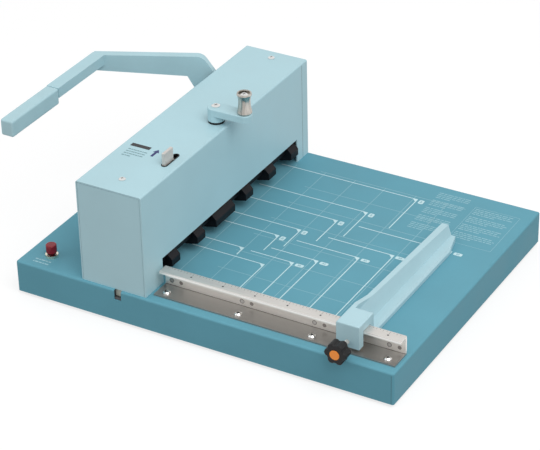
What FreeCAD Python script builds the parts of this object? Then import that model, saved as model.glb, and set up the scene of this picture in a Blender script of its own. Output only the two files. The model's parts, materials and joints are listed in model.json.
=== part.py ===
import FreeCAD, Part
import math
import os
import re
import Sketcher

Vector = FreeCAD.Vector

# Driving sizes in millimetres and degrees
SIZES = {
    # base tray
    "base_length": 595, "base_width": 464, "base_height": 49, "base_sheet": 1.6, "base_edge_round": 3,
    # feet
    "foot_height": 5, "foot_radius": 14, "foot_inset": 45, "foot_screw_radius": 2.5,
    "foot_screw_head_radius": 4.5, "foot_screw_head_height": 2, "foot_recess_depth": 3,
    "foot_recess_margin": 1, "foot_screw_grip": 6, "foot_taper": 1,
    # head cover
    "head_gap": 110, "head_width": 104, "head_height": 157, "head_near_setback": 4, "head_far_setback": 2,
    "cover_sheet": 2, "cover_edge_round": 2.5, "panel_seam": 0.5,
    "throat_height": 38.5, "throat_near_leg": 45.5, "throat_far_leg": 33.5,
    "cover_screw_back_gap": 55, "cover_screw_radius": 2, "cover_screw_length": 12,
    "pan_head_radius": 5, "pan_head_height": 2.6, "hole_clearance": 0.2,
    # frame inside the head
    "plate_thickness": 16, "plate_near_inset": 24, "plate_far_inset": 12, "plate_back_gap": 14,
    "plate_width": 78, "frame_bolt_radius": 4, "frame_bolt_head_radius": 6.5,
    "frame_bolt_head_height": 5, "frame_bolt_grip": 16, "frame_bolt_margin": 10,
    "beam_back_gap": 62, "beam_width": 36, "beam_roof_gap": 8, "beam_height": 28, "beam_bolt_margin": 8,
    # cutting stick and its bed
    "cut_offset": 167, "stick_width": 11, "stick_depth": 11, "stick_lead": 3, "stick_drop": 0.5,
    "stick_clearance": 0.3, "stick_end_gap": 1, "stick_setback": 6, "notch_depth": 15.5, "bed_wall": 8,
    "bed_floor": 8,
    # blade and carrier
    "blade_thickness": 5, "blade_height": 50, "blade_gap": 20.4, "bevel_height": 11, "edge_land": 0.4,
    "blade_end_gap": 8, "carrier_thickness": 12, "carrier_height": 48, "carrier_lift": 10,
    "tongue_length": 6, "guide_clearance": 0.1, "blade_screw_radius": 3, "blade_screw_count": 5,
    "blade_screw_head_radius": 5, "blade_screw_head_height": 2.6, "blade_screw_length": 11,
    "blade_screw_height": 34, "blade_screw_sink": 0.2,
    # drive from the lever to the carrier
    "pivot_back_gap": 40, "pivot_drop": 46, "shaft_radius": 9, "running_clearance": 0.05,
    "bush_wall": 3, "shaft_end_gap": 2, "collar_wall": 5, "collar_width": 4, "side_play": 0.4,
    "crank_throw": 30, "swing_half": 20, "crank_thickness": 8, "crank_hub_wall": 5, "crank_eye_wall": 4,
    "pin_radius": 4, "yoke_inset": 6, "yoke_thickness": 6, "yoke_gap": 2, "yoke_clearance": 0.2,
    "yoke_prong": 9, "yoke_leg_width": 20, "yoke_back_gap": 4, "yoke_foot_height": 40, "yoke_slot_play": 3,
    # lever
    "lever_far_inset": 90, "lever_start": 2, "lever_heading": 25, "lever_thickness": 13, "arm_rise": 20,
    "arm_left_drop": 5, "arm_right_drop": 12, "arm_reach": 178.5, "neck_top_run": 16.7,
    "neck_bottom_run": 40, "neck_root_drop": 37, "neck_root_run": 20, "neck_heel_drop": 57,
    "neck_heel_run": 16.2, "elbow_round": 16, "hub_radius": 18, "hub_inset": 1, "hub_length": 24,
    "hub_gap": 2, "bar_width": 20.2, "bar_height": 15.5, "bar_lap": 8.4, "bar_length": 120,
    "grip_length": 115, "grip_width": 20.8, "grip_height": 25.3, "grip_round": 3, "grip_proud": 0.3,
    "tang_width": 10, "tang_height": 9, "tang_end_gap": 14,
    "slot_reach": 57, "slot_roof_gap": 3, "slot_width": 37, "slot_lead": 12,
    "seal_thickness": 1.5, "seal_lip": 3,
    # clamp
    "clamp_back_gap": 2, "clamp_depth": 38, "clamp_height": 35, "clamp_gap": 12, "clamp_bar_lift": 12,
    "clamp_end_gap": 6, "toe_count": 6, "toe_near_margin": 28, "toe_far_margin": 14, "toe_width": 21,
    "wide_toe_width": 52, "toe_reach": 11, "toe_front_rise": 4.5, "toe_front_height": 10, "toe_heel": 3,
    "toe_sole": 28,
    "guide_rod_radius": 6, "guide_rod_inset": 62, "guide_rod_engage": 20,
    "nut_radius": 11.5, "nut_height": 22, "spindle_radius": 8, "spindle_clearance": 0.4,
    "spindle_collar_radius": 12, "spindle_collar_height": 5, "spindle_end_lift": 2,
    # clamp crank
    "crank_back_gap": 83, "crank_shift": -2.5, "boss_radius": 12.2, "boss_height": 20.5, "washer_height": 3.5,
    "washer_radius": 11.8, "boss_socket": 12, "arm_length": 47, "arm_tip_radius": 11, "arm_depth": 10.6,
    "crank_edge_round": 1.5, "post_radius": 4, "spool_height": 32, "spool_radius": 10.8, "spool_waist": 8.6,
    "spool_chamfer": 1.2, "spool_waist_height": 20, "spool_rim": 2, "spool_recess_radius": 8.2,
    "spool_recess_depth": 4, "spool_gap": 0.3, "crank_screw_radius": 3, "crank_screw_length": 14,
    "crank_screw_head_radius": 6.2, "knob_screw_head_radius": 6,
    # lock tab
    "lock_back_gap": 85, "lock_offset": 92, "lock_slot_length": 37, "lock_slot_width": 7, "lock_rim": 1.2,
    "lock_rim_height": 0.8, "lock_tab_length": 22, "lock_tab_thickness": 4.6, "lock_tab_height": 20,
    "lock_tab_round": 2, "lock_foot_margin": 5, "lock_foot_height": 3, "lock_end_gap": 1, "lock_play": 0.4,
    "lock_guide_wall": 2, "lock_corner_relief": 0.1,
    # lamp and its switch
    "button_inset_x": 38.3, "button_inset_y": 34, "button_radius": 7.8, "button_height": 12,
    "button_gap": 3.5, "button_edge_round": 1.5, "button_stem_radius": 3, "stem_clearance": 0.3,
    "nut_ring_radius": 9.2, "nut_ring_height": 4, "switch_radius": 6, "switch_length": 22,
    "lamp_length": 300, "lamp_width": 5, "lamp_height": 6, "battery_length": 66, "battery_width": 34,
    "battery_height": 20, "battery_inset": 17, "battery_gap": 20,
    # side rail
    "rail_start_gap": 6, "rail_end_gap": 6, "rail_sheet": 2.4, "rail_face_offset": 49.4, "rail_height": 30,
    "rail_ledge": 17.5, "rail_lip": 4, "rail_flange": 34, "rail_bend_round": 1.2,
    "strip_thickness": 1, "strip_height": 25, "strip_lift": 1, "rivet_count": 4, "rivet_radius": 3.5,
    "rivet_height": 9.5, "rivet_start_inset": 10, "rivet_end_inset": 24, "rail_bolt_count": 4,
    "rail_bolt_inset": 15,
    "rail_bolt_setback": 24, "rail_bolt_radius": 3, "rail_bolt_head_radius": 5.5,
    "rail_bolt_head_height": 3.4, "rail_bolt_length": 14,
    # back gauge
    "gauge_end_gap": 88, "gauge_near_offset": 18, "gauge_far_offset": 333.5, "gauge_float": 0.3,
    "block_width": 34, "block_top": 43, "block_depth": 41, "crest_depth": 48, "leg_thickness": 12,
    "leg_lift": 7.5,
    "rail_clearance": 0.6, "fence_thickness": 7, "fence_near_top": 33.5, "fence_far_top": 24,
    "ramp_length": 40, "flange_width": 30.5, "flange_height": 8, "flange_far_trim": 9, "flange_far_run": 36,
    "fence_slope": 8, "flange_bevel": 2.5, "gauge_edge_round": 1.5, "stud_radius": 3, "stud_height": 16.5,
    "stud_from_fence": 17, "pad_radius": 6, "pad_gap": 0.3, "pad_thickness": 5, "pad_socket": 2,
    "pad_end_play": 0.3, "star_face_reach": 36, "star_depth": 17, "star_core_radius": 13.2,
    "star_lobe_radius": 5.6, "star_lobe_pitch": 10.6, "star_lobes": 6, "star_neck_radius": 7.6,
    "star_neck_length": 6, "star_round": 2, "cap_radius": 7, "cap_depth": 3, "cap_proud": 0.8,
    # stiffeners under the deck
    "stiffener_width": 30, "stiffener_height": 20, "stiffener_sheet": 2, "stiffener_end_gap": 12,
}

# Places worked out from the sizes, each as an expression
PLACES = {
    "left_end": "-base_length / 2",
    "near_edge": "-base_width / 2",
    "deck": "foot_height + base_height",
    "head_back": "left_end + head_gap",
    "head_face": "head_back + head_width",
    "head_near": "near_edge + head_near_setback",
    "head_far": "base_width / 2 - head_far_setback",
    "head_length": "head_far - head_near",
    "head_top": "deck + head_height",
    "head_roof": "head_top - cover_sheet",
    "throat_near": "head_near + throat_near_leg",
    "throat_width": "head_far - throat_far_leg - throat_near",
    "cut_line": "left_end + cut_offset",
    "plate_back": "head_back + plate_back_gap",
    "near_plate": "head_near + plate_near_inset",
    "near_face": "near_plate + plate_thickness",
    "far_plate": "head_far - plate_far_inset",
    "far_face": "far_plate - plate_thickness",
    "pivot_x": "head_back + pivot_back_gap",
    "pivot_z": "head_top - pivot_drop",
    "pin_x": "pivot_x - crank_throw * cos(swing_half * 1 deg)",
    "pin_z": "pivot_z + crank_throw * sin(swing_half * 1 deg)",
    "crank_x": "head_back + crank_back_gap",
    "crank_y": "(clamp_near + clamp_far) / 2 + crank_shift",
    "carrier_back": "cut_line - blade_thickness - carrier_thickness",
    "edge_z": "deck + blade_gap",
    "carrier_low": "edge_z + carrier_lift",
    "clamp_back": "cut_line + clamp_back_gap",
    "clamp_low": "deck + clamp_gap",
    "clamp_near": "near_face + clamp_end_gap",
    "clamp_far": "far_face - clamp_end_gap",
    "bar_low": "clamp_low + clamp_bar_lift",
    "beam_back": "head_back + beam_back_gap",
    "beam_low": "head_roof - beam_roof_gap - beam_height",
    "rail_face": "near_edge + rail_face_offset",
    "rail_inner": "rail_face - strip_thickness",
    "rail_wall": "rail_inner - rail_sheet",
    "rail_start": "head_face + rail_start_gap",
    "rail_end": "base_length / 2 - rail_end_gap",
    "rail_near": "rail_inner - rail_flange",
    "fence_face": "rail_end - gauge_end_gap",
    "gauge_near": "near_edge + gauge_near_offset",
    "gauge_far": "near_edge + gauge_far_offset",
    "gauge_low": "deck + gauge_float",
    "ledge_near": "rail_inner - rail_ledge",
    "stud_x": "fence_face + stud_from_fence",
    "stud_z": "deck + stud_height",
    "star_near": "gauge_near - star_face_reach",
    "lever_y": "head_far - lever_far_inset",
    "lever_x": "head_back - lever_start",
    "lever_top": "head_top + arm_rise",
    "arm_run": "arm_reach * cos(lever_heading * 1 deg)",
    "arm_fall": "arm_reach * sin(lever_heading * 1 deg)",
    "bar_outer": "lever_x - arm_run - lever_thickness * sin(lever_heading * 1 deg)",
    "bar_far": "lever_y - arm_fall + bar_lap",
    "bar_near": "bar_far - bar_length",
    "tang_low": "lever_top - bar_height / 2 - tang_height / 2",
    "slot_near": "lever_y - slot_lead",
    "slot_low": "pivot_z - slot_reach",
    "slot_height": "head_roof - slot_roof_gap - slot_low",
    "boss_low": "head_top + washer_height",
    "arm_high": "boss_low + boss_height",
    "knob_x": "crank_x + arm_length",
    "button_x": "left_end + button_inset_x",
    "button_y": "near_edge + button_inset_y",
    "lock_x": "head_back + lock_back_gap",
    "lock_y": "near_edge + lock_offset",
    "stick_left": "cut_line - stick_lead",
    "stick_low": "deck - stick_drop - stick_depth",
    "gauge_foot": "rail_face + rail_clearance",
    "yoke_back": "head_back + cover_sheet + yoke_back_gap",
    "screw_seat": "cut_line - blade_screw_head_height - blade_screw_sink",
    "slot_half": "lock_slot_width / 2",
    "near_yoke": "near_face + yoke_inset",
    "far_yoke": "far_face - yoke_inset - yoke_thickness",
    "near_crank": "near_yoke + yoke_thickness + yoke_gap",
    "far_crank": "far_yoke - yoke_gap - crank_thickness",
}

# Rows of fixings, each place as an expression
PLATE_MIDDLES = ("near_plate + plate_thickness / 2", "far_plate - plate_thickness / 2")
FRAME_BOLT_ROWS = ("plate_back + frame_bolt_margin", "plate_back + plate_width - frame_bolt_margin")
FRAME_BOLTS = [(x, y) for x in FRAME_BOLT_ROWS for y in PLATE_MIDDLES]
COVER_SCREWS = [("head_back + cover_screw_back_gap", y) for y in PLATE_MIDDLES]
RAIL_BOLT_Y = "rail_inner - rail_bolt_setback"
RAIL_BOLTS = [f"rail_start + rail_bolt_inset + {number} * (rail_end - rail_start - 2 * rail_bolt_inset)"
              " / (rail_bolt_count - 1)" for number in range(SIZES["rail_bolt_count"])]
RIVET_RUN = "(rail_end - rail_start - rivet_start_inset - rivet_end_inset)"
RIVETS = [f"rail_start + rivet_start_inset + {number} * {RIVET_RUN} / (rivet_count - 1)"
          for number in range(SIZES["rivet_count"])]
FEET = [(f"{side} * (base_length / 2 - foot_inset)", f"{end} * (base_width / 2 - foot_inset)")
        for side in (-1, 1) for end in (-1, 1)]
BEAM_BOLTS = ("beam_low + beam_bolt_margin", "beam_low + beam_height - beam_bolt_margin")
BEAM_BOLT_X = "beam_back + beam_width / 2"
GUIDE_RODS = ("near_face + guide_rod_inset", "far_face - guide_rod_inset")
BLADE_SCREWS = [f"clamp_near + (clamp_far - clamp_near) * {number + 0.5} / blade_screw_count"
                for number in range(SIZES["blade_screw_count"])]
WIDE_TOE = 2
SPOOL_STEPS = 5

NAMES = re.compile(r"\b[a-z][a-z_]+\b")
AXIS_TURNS = {
    "X": FreeCAD.Rotation(Vector(0, 1, 0), 90),
    "Y": FreeCAD.Rotation(Vector(1, 0, 0), -90),
    "Z": FreeCAD.Rotation(),
}
TINY = 1e-4
NEAR = 0.01

doc = FreeCAD.newDocument("StackPaperCutter")
sheet = doc.addObject("Spreadsheet::Sheet", "Sizes")
for row, (alias, number) in enumerate(SIZES.items(), start=1):
    sheet.set(f"A{row}", alias.replace("_", " "))
    sheet.set(f"B{row}", str(number))
    sheet.setAlias(f"B{row}", alias)
doc.recompute()
nodes = []


def bound(expression):
    """The expression with places written out and every size read from the sheet."""
    def written_out(match):
        word = match.group(0)
        if word in PLACES:
            return "(" + bound(PLACES[word]) + ")"
        if word in SIZES:
            return "Sizes." + word
        return word
    return NAMES.sub(written_out, str(expression))


def value(expression):
    """The expression's number at the sheet's present sizes."""
    return float(sheet.evalExpression(bound(expression)))


def bind(item, **expressions):
    """Bind the named properties of an object."""
    for name, expression in expressions.items():
        item.setExpression(name, bound(expression))


def put(item, place, turn=None):
    """Bind an object's place and set its turn."""
    item.Placement = FreeCAD.Placement(Vector(), turn or FreeCAD.Rotation())
    for letter, expression in zip("xyz", place):
        item.setExpression("Placement.Base." + letter, bound(expression))


def block(name, low, size):
    """A rectangular block from its low corner."""
    item = doc.addObject("Part::Box", name)
    bind(item, Length=size[0], Width=size[1], Height=size[2])
    put(item, low)
    return item


def rod(name, axis, start, radius, length):
    """A round bar from the centre of its low end."""
    item = doc.addObject("Part::Cylinder", name)
    bind(item, Radius=radius, Height=length)
    put(item, start, AXIS_TURNS[axis])
    return item


def combined(kind, name, pieces):
    """A union or a group of pieces."""
    item = doc.addObject(kind, name)
    if kind == "Part::Compound":
        item.Links = pieces
    else:
        item.Shapes = pieces
    return item


def fuse(name, *pieces):
    item = combined("Part::MultiFuse", name, list(pieces))
    item.Refine = True
    return item


def group(name, pieces):
    return combined("Part::Compound", name, list(pieces))


def common(name, *pieces):
    item = combined("Part::MultiCommon", name, list(pieces))
    item.Refine = True
    return item


def cut(name, base, *tools):
    """A piece with the tools taken away."""
    item = doc.addObject("Part::Cut", name)
    item.Base = base
    item.Tool = tools[0] if len(tools) == 1 else fuse(name + "_tools", *tools)
    item.Refine = True
    return item


def slot_block(name, low, size, radius):
    """A block standing on the deck plane with round upright corners."""
    base = block(name + "_blank", low, size)
    return rounded(name, base, radius, lambda edge: along(edge, "Z"))


def along(edge, letter):
    """True when a straight edge runs along one axis."""
    if edge.Curve.TypeId != "Part::GeomLine":
        return False
    direction = edge.Curve.Direction
    return abs(abs(getattr(direction, letter.lower())) - 1) < TINY


def rounded(name, base, radius, wanted):
    """A piece with the wanted edges rounded."""
    doc.recompute()
    reach = value(radius)
    item = doc.addObject("Part::Fillet", name)
    item.Base = base
    item.Edges = [(number, reach, reach) for number, edge in enumerate(base.Shape.Edges, start=1)
                  if wanted(edge)]
    return item


def at_height(edge, level):
    """True when the whole edge lies at one height."""
    box = edge.BoundBox
    return abs(box.ZMin - level) < TINY and abs(box.ZMax - level) < TINY


def is_corner(edge, plate, run, height):
    """True for the edge across the plate at one corner of its outline."""
    middle = edge.BoundBox.Center
    local = plate.Placement.inverse().multVec(middle)
    return abs(local.x - value(run)) < NEAR and abs(local.z - value(height)) < NEAR


def outline(body, plane, points):
    """A closed sketch of straight lines with every corner bound to the sheet."""
    sketch = body.newObject("Sketcher::SketchObject", body.Name + "_outline")
    planes = {feature.Role: feature for feature in body.Origin.OriginFeatures}
    sketch.AttachmentSupport = [(planes[plane + "_Plane"], "")]
    sketch.MapMode = "FlatFace"
    corners = [Vector(value(u), value(v), 0) for u, v in points]
    for number, corner in enumerate(corners):
        following = corners[(number + 1) % len(corners)]
        sketch.addGeometry(Part.LineSegment(corner, following), False)
    for number in range(len(corners)):
        following = (number + 1) % len(corners)
        sketch.addConstraint(Sketcher.Constraint("Coincident", number, 2, following, 1))
    for number, corner in enumerate(corners):
        for kind, letter, amount, expression in (
                ("DistanceX", "u", corner.x, points[number][0]),
                ("DistanceY", "v", corner.y, points[number][1])):
            index = sketch.addConstraint(Sketcher.Constraint(kind, -1, 1, number, 1, amount))
            sketch.renameConstraint(index, f"{letter}{number}")
            sketch.setExpression(f"Constraints.{letter}{number}", bound(expression))
    return sketch


def profile(name, plane, points, place, depth):
    """An outline pushed out along the positive normal of its plane."""
    body = doc.addObject("PartDesign::Body", name)
    sketch = outline(body, plane, points)
    pad = body.newObject("PartDesign::Pad", name + "_pad")
    pad.Profile = sketch
    pad.Reversed = plane == "XZ"
    bind(pad, Length=depth)
    put(body, place)
    return body


def turned(name, points, place, axis="Z"):
    """A half outline of radius and height turned about an axis."""
    body = doc.addObject("PartDesign::Body", name)
    sketch = outline(body, "XZ", points)
    turn = body.newObject("PartDesign::Revolution", name + "_turn")
    turn.Profile = sketch
    turn.ReferenceAxis = (sketch, ["V_Axis"])
    turn.Angle = 360
    put(body, place, AXIS_TURNS[axis])
    return body


def screw(name, place, axis, shank_radius, length, head_radius, head_height, flip=False):
    """A pan-head screw: the place is the underside of its head, the axis points to the head."""
    crown = f"0.6 * ({head_radius})"
    shoulder = f"0.5 * ({head_height})"
    points = [("0", f"-({length})"), (shank_radius, f"-({length})"), (shank_radius, "0"), (head_radius, "0"),
              (head_radius, shoulder), (crown, head_height), ("0", head_height)]
    item = turned(name, points, place, axis)
    if flip:
        turn = AXIS_TURNS[axis].multiply(FreeCAD.Rotation(Vector(1, 0, 0), 180))
        put(item, place, turn)
    return item


def keep(item, name):
    """Enter a finished piece as a node of the object."""
    item.Label = name
    nodes.append(item)
    return item


def base_tray():
    """Folded tray with the stick slot, bolt holes and button hole."""
    blank = block("tray_blank", ("left_end", "near_edge", "foot_height"),
                  ("base_length", "base_width", "base_height"))
    low = SIZES["foot_height"]
    solid = rounded("tray_solid", blank, "base_edge_round", lambda edge: not at_height(edge, low))
    inside = block("tray_inside", ("left_end + base_sheet", "near_edge + base_sheet", "foot_height"),
                   ("base_length - 2 * base_sheet", "base_width - 2 * base_sheet",
                    "base_height - base_sheet"))
    slot = block("tray_slot", ("stick_left - stick_clearance", "near_edge", "stick_low - stick_clearance"),
                 ("stick_width + 2 * stick_clearance", "base_width - base_sheet", "base_height"))
    notch = block("tray_notch", ("stick_left - stick_clearance", "near_edge - 1", "deck - notch_depth"),
                  ("stick_width + 2 * stick_clearance", "base_sheet + 2", "notch_depth + 1"))
    button = rod("tray_button_hole", "Z", ("button_x", "button_y", "foot_height"),
                 "switch_radius + hole_clearance", "base_height * 2")
    holes = [rod(f"tray_frame_hole_{number}", "Z", (x, y, "foot_height"),
                 "frame_bolt_radius + hole_clearance", "base_height * 2")
             for number, (x, y) in enumerate(FRAME_BOLTS)]
    holes += [rod(f"tray_rail_hole_{number}", "Z", (x, RAIL_BOLT_Y, "foot_height"),
                  "rail_bolt_radius + hole_clearance", "base_height * 2")
              for number, x in enumerate(RAIL_BOLTS)]
    keep(cut("base_tray", solid, inside, slot, notch, button, *holes), "base_tray")


def base_underside():
    """Bottom plate, feet with screws, stiffeners, stick bed and the stick."""
    plate = block("bottom_blank", ("left_end + base_sheet", "near_edge + base_sheet", "foot_height"),
                  ("base_length - 2 * base_sheet", "base_width - 2 * base_sheet", "base_sheet"))
    holes = [rod(f"bottom_hole_{number}", "Z", (x, y, "0"), "foot_screw_radius + hole_clearance",
                 "foot_height * 2") for number, (x, y) in enumerate(FEET)]
    keep(cut("bottom_plate", plate, *holes), "bottom_plate")
    feet = [turned(f"foot_{number}", [
        ("foot_screw_radius + hole_clearance", "foot_height"), ("foot_radius", "foot_height"),
        ("foot_radius - foot_taper", "0"), ("foot_screw_head_radius + foot_recess_margin", "0"),
        ("foot_screw_head_radius + foot_recess_margin", "foot_recess_depth"),
        ("foot_screw_radius + hole_clearance", "foot_recess_depth")], (x, y, "0"))
            for number, (x, y) in enumerate(FEET)]
    keep(group("rubber_feet", feet), "rubber_feet")
    screws = [screw(f"foot_screw_{number}", (x, y, "foot_recess_depth"), "Z", "foot_screw_radius",
                    "foot_height - foot_recess_depth + foot_screw_grip", "foot_screw_head_radius",
                    "foot_screw_head_height", flip=True) for number, (x, y) in enumerate(FEET)]
    keep(group("foot_screws", screws), "foot_screws")
    length = "base_width - 2 * base_sheet - 2 * stiffener_end_gap"
    bars = []
    for number in range(2):
        x = f"({RAIL_BOLTS[number]} + {RAIL_BOLTS[number + 1]}) / 2 - stiffener_width / 2"
        low = "deck - base_sheet - stiffener_height"
        outer = block(f"stiffener_outer_{number}", (x, "near_edge + base_sheet + stiffener_end_gap", low),
                      ("stiffener_width", length, "stiffener_height"))
        inner = block(f"stiffener_inner_{number}",
                      (f"{x} + stiffener_sheet", "near_edge + base_sheet + stiffener_end_gap", low),
                      ("stiffener_width - 2 * stiffener_sheet", length, "stiffener_height - stiffener_sheet"))
        bars.append(cut(f"stiffener_{number}", outer, inner))
    keep(group("deck_stiffeners", bars), "deck_stiffeners")
    top = "deck - base_sheet"
    low = "stick_low - bed_floor"
    bed = block("bed_blank", ("stick_left - bed_wall", "near_edge + base_sheet", low),
                ("stick_width + 2 * bed_wall", "base_width - 2 * base_sheet", f"{top} - ({low})"))
    groove = block("bed_groove", ("stick_left - stick_clearance", "near_edge", "stick_low"),
                   ("stick_width + 2 * stick_clearance", "base_width", "stick_depth * 2"))
    keep(cut("stick_bed", bed, groove), "stick_bed")
    keep(block("cutting_stick", ("stick_left", "near_edge + stick_setback", "stick_low"),
               ("stick_width", "base_width - base_sheet - stick_end_gap - stick_setback", "stick_depth")),
         "cutting_stick")
    bolts = [screw(f"frame_bolt_{number}", (x, y, "deck - base_sheet"), "Z", "frame_bolt_radius",
                   "base_sheet + frame_bolt_grip", "frame_bolt_head_radius", "frame_bolt_head_height",
                   flip=True) for number, (x, y) in enumerate(FRAME_BOLTS)]
    keep(group("frame_bolts", bolts), "frame_bolts")


def side_plate(name, low_y, groove_y, bolt_y, cover_xy):
    """Upright frame plate with bush bore, blade guide groove and screw holes."""
    blank = block(name + "_blank", ("plate_back", low_y, "deck"),
                  ("plate_width", "plate_thickness", "head_roof - deck"))
    bore = rod(name + "_bore", "Y", ("pivot_x", low_y, "pivot_z"), "shaft_radius + bush_wall",
               "plate_thickness")
    groove = block(name + "_groove", ("carrier_back - guide_clearance", groove_y, "deck"),
                   ("carrier_thickness + 2 * guide_clearance", "tongue_length + side_play", "head_height"))
    holes = [rod(f"{name}_foot_{number}", "Z", (x, bolt_y, "deck"), "frame_bolt_radius + hole_clearance",
                 "frame_bolt_grip + 1") for number, x in enumerate(FRAME_BOLT_ROWS)]
    holes += [rod(f"{name}_beam_{number}", "Y", (BEAM_BOLT_X, low_y, z), "frame_bolt_radius + hole_clearance",
                  "plate_thickness") for number, z in enumerate(BEAM_BOLTS)]
    holes.append(rod(name + "_cover", "Z", (*cover_xy, "head_roof - cover_screw_length - 1"),
                     "cover_screw_radius + hole_clearance", "cover_screw_length * 2"))
    keep(cut(name, blank, bore, groove, *holes), name)


def frame():
    """Side plates, cross beam with its bolts and guide rods, and the shaft bushes."""
    side_plate("side_plate_near", "near_plate", "near_face - tongue_length - side_play", PLATE_MIDDLES[0],
               COVER_SCREWS[0])
    side_plate("side_plate_far", "far_face", "far_face", PLATE_MIDDLES[1], COVER_SCREWS[1])
    length = "far_face - (near_face)"
    beam = block("beam_blank", ("beam_back", "near_face", "beam_low"), ("beam_width", length, "beam_height"))
    holes = [rod("beam_spindle", "Z", ("crank_x", "crank_y", "beam_low"),
                 "spindle_radius + running_clearance", "beam_height")]
    holes += [rod(f"beam_rod_{number}", "Z", ("crank_x", y, "beam_low"), "guide_rod_radius", "beam_height")
              for number, y in enumerate(GUIDE_RODS)]
    depth = "frame_bolt_grip + 1"
    for number, z in enumerate(BEAM_BOLTS):
        holes.append(rod(f"beam_near_{number}", "Y", (BEAM_BOLT_X, "near_face", z),
                         "frame_bolt_radius + hole_clearance", depth))
        holes.append(rod(f"beam_far_{number}", "Y", (BEAM_BOLT_X, f"far_face - ({depth})", z),
                         "frame_bolt_radius + hole_clearance", depth))
    keep(cut("cross_beam", beam, *holes), "cross_beam")
    bolts = []
    for number, z in enumerate(BEAM_BOLTS):
        for end, y in (("near", "near_plate"), ("far", "far_plate")):
            bolts.append(screw(f"beam_bolt_{end}_{number}", (BEAM_BOLT_X, y, z), "Y", "frame_bolt_radius",
                               "plate_thickness + frame_bolt_grip", "frame_bolt_head_radius",
                               "frame_bolt_head_height", flip=end == "near"))
    keep(group("beam_bolts", bolts), "beam_bolts")
    low = "bar_low + clamp_height - guide_rod_engage"
    rods = [rod(f"guide_rod_{number}", "Z", ("crank_x", y, low), "guide_rod_radius",
                f"beam_low + beam_height - ({low})") for number, y in enumerate(GUIDE_RODS)]
    keep(group("clamp_guide_rods", rods), "clamp_guide_rods")
    bushes = []
    for end, y in (("near", "near_plate"), ("far", "far_face")):
        outer = rod(f"bush_outer_{end}", "Y", ("pivot_x", y, "pivot_z"), "shaft_radius + bush_wall",
                    "plate_thickness")
        inner = rod(f"bush_inner_{end}", "Y", ("pivot_x", y, "pivot_z"), "shaft_radius + running_clearance",
                    "plate_thickness")
        bushes.append(cut(f"bush_{end}", outer, inner))
    keep(group("lever_bushes", bushes), "lever_bushes")
    keep(block("cut_line_lamp", ("beam_back", "crank_y - lamp_length / 2", "beam_low - lamp_height"),
               ("lamp_width", "lamp_length", "lamp_height")), "cut_line_lamp")


def head_cover():
    """Bent cover with throat, lever slot and top openings, end panels, screws and trims."""
    blank = block("cover_blank", ("head_back", "head_near", "deck"),
                  ("head_width", "head_length", "head_height"))
    solid = rounded("cover_solid", blank, "cover_edge_round",
                    lambda edge: along(edge, "Y") and edge.BoundBox.ZMin > value("deck") + 1)
    inside = block("cover_inside", ("head_back + cover_sheet", "head_near", "deck"),
                   ("head_width - 2 * cover_sheet", "head_length", "head_height - cover_sheet"))
    throat = block("cover_throat", ("head_back - 1", "throat_near", "deck"),
                   ("head_width + 2", "throat_width", "throat_height"))
    slot = block("cover_lever_slot", ("head_back - 1", "slot_near", "slot_low"),
                 ("cover_sheet + 2", "slot_width", "slot_height"))
    lock_slot = slot_block("cover_lock_slot", ("lock_x - slot_half - lock_rim / 2", "lock_y - lock_rim / 2",
                                               "head_roof - 1"),
                           ("lock_slot_width + lock_rim", "lock_slot_length + lock_rim", "cover_sheet + 2"),
                           "slot_half + lock_rim / 2 - lock_corner_relief")
    spindle = rod("cover_spindle", "Z", ("crank_x", "crank_y", "head_roof - 1"),
                  "spindle_radius + spindle_clearance", "cover_sheet + 2")
    holes = [rod(f"cover_hole_{number}", "Z", (x, y, "head_roof - 1"), "cover_screw_radius + hole_clearance",
                 "cover_sheet + 2") for number, (x, y) in enumerate(COVER_SCREWS)]
    keep(cut("head_cover", solid, inside, throat, slot, lock_slot, spindle, *holes), "head_cover")
    for name, y in (("end_panel_near", "head_near"), ("end_panel_far", "head_far - cover_sheet")):
        keep(block(name, ("head_back + cover_sheet + panel_seam", y, "deck"),
                   ("head_width - 2 * cover_sheet - 2 * panel_seam", "cover_sheet",
                    "head_height - cover_sheet - panel_seam")), name)
    screws = [screw(f"cover_screw_{number}", (x, y, "head_top"), "Z", "cover_screw_radius",
                    "cover_sheet + cover_screw_length", "pan_head_radius", "pan_head_height")
              for number, (x, y) in enumerate(COVER_SCREWS)]
    keep(group("cover_screws", screws), "cover_screws")
    outer = block("seal_outer", ("head_back - seal_thickness", "slot_near - seal_lip", "slot_low - seal_lip"),
                  ("seal_thickness", "slot_width + 2 * seal_lip", "slot_height + 1.5 * seal_lip"))
    opening = block("seal_opening", ("head_back - 2 * seal_thickness", "slot_near", "slot_low"),
                    ("4 * seal_thickness", "slot_width", "slot_height"))
    keep(cut("lever_slot_trim", outer, opening), "lever_slot_trim")
    washer = rod("washer_blank", "Z", ("crank_x", "crank_y", "head_top"), "washer_radius",
                 "washer_height - side_play")
    bore = rod("washer_bore", "Z", ("crank_x", "crank_y", "head_top"), "spindle_radius + spindle_clearance",
               "washer_height")
    keep(cut("crank_washer", washer, bore), "crank_washer")


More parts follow.
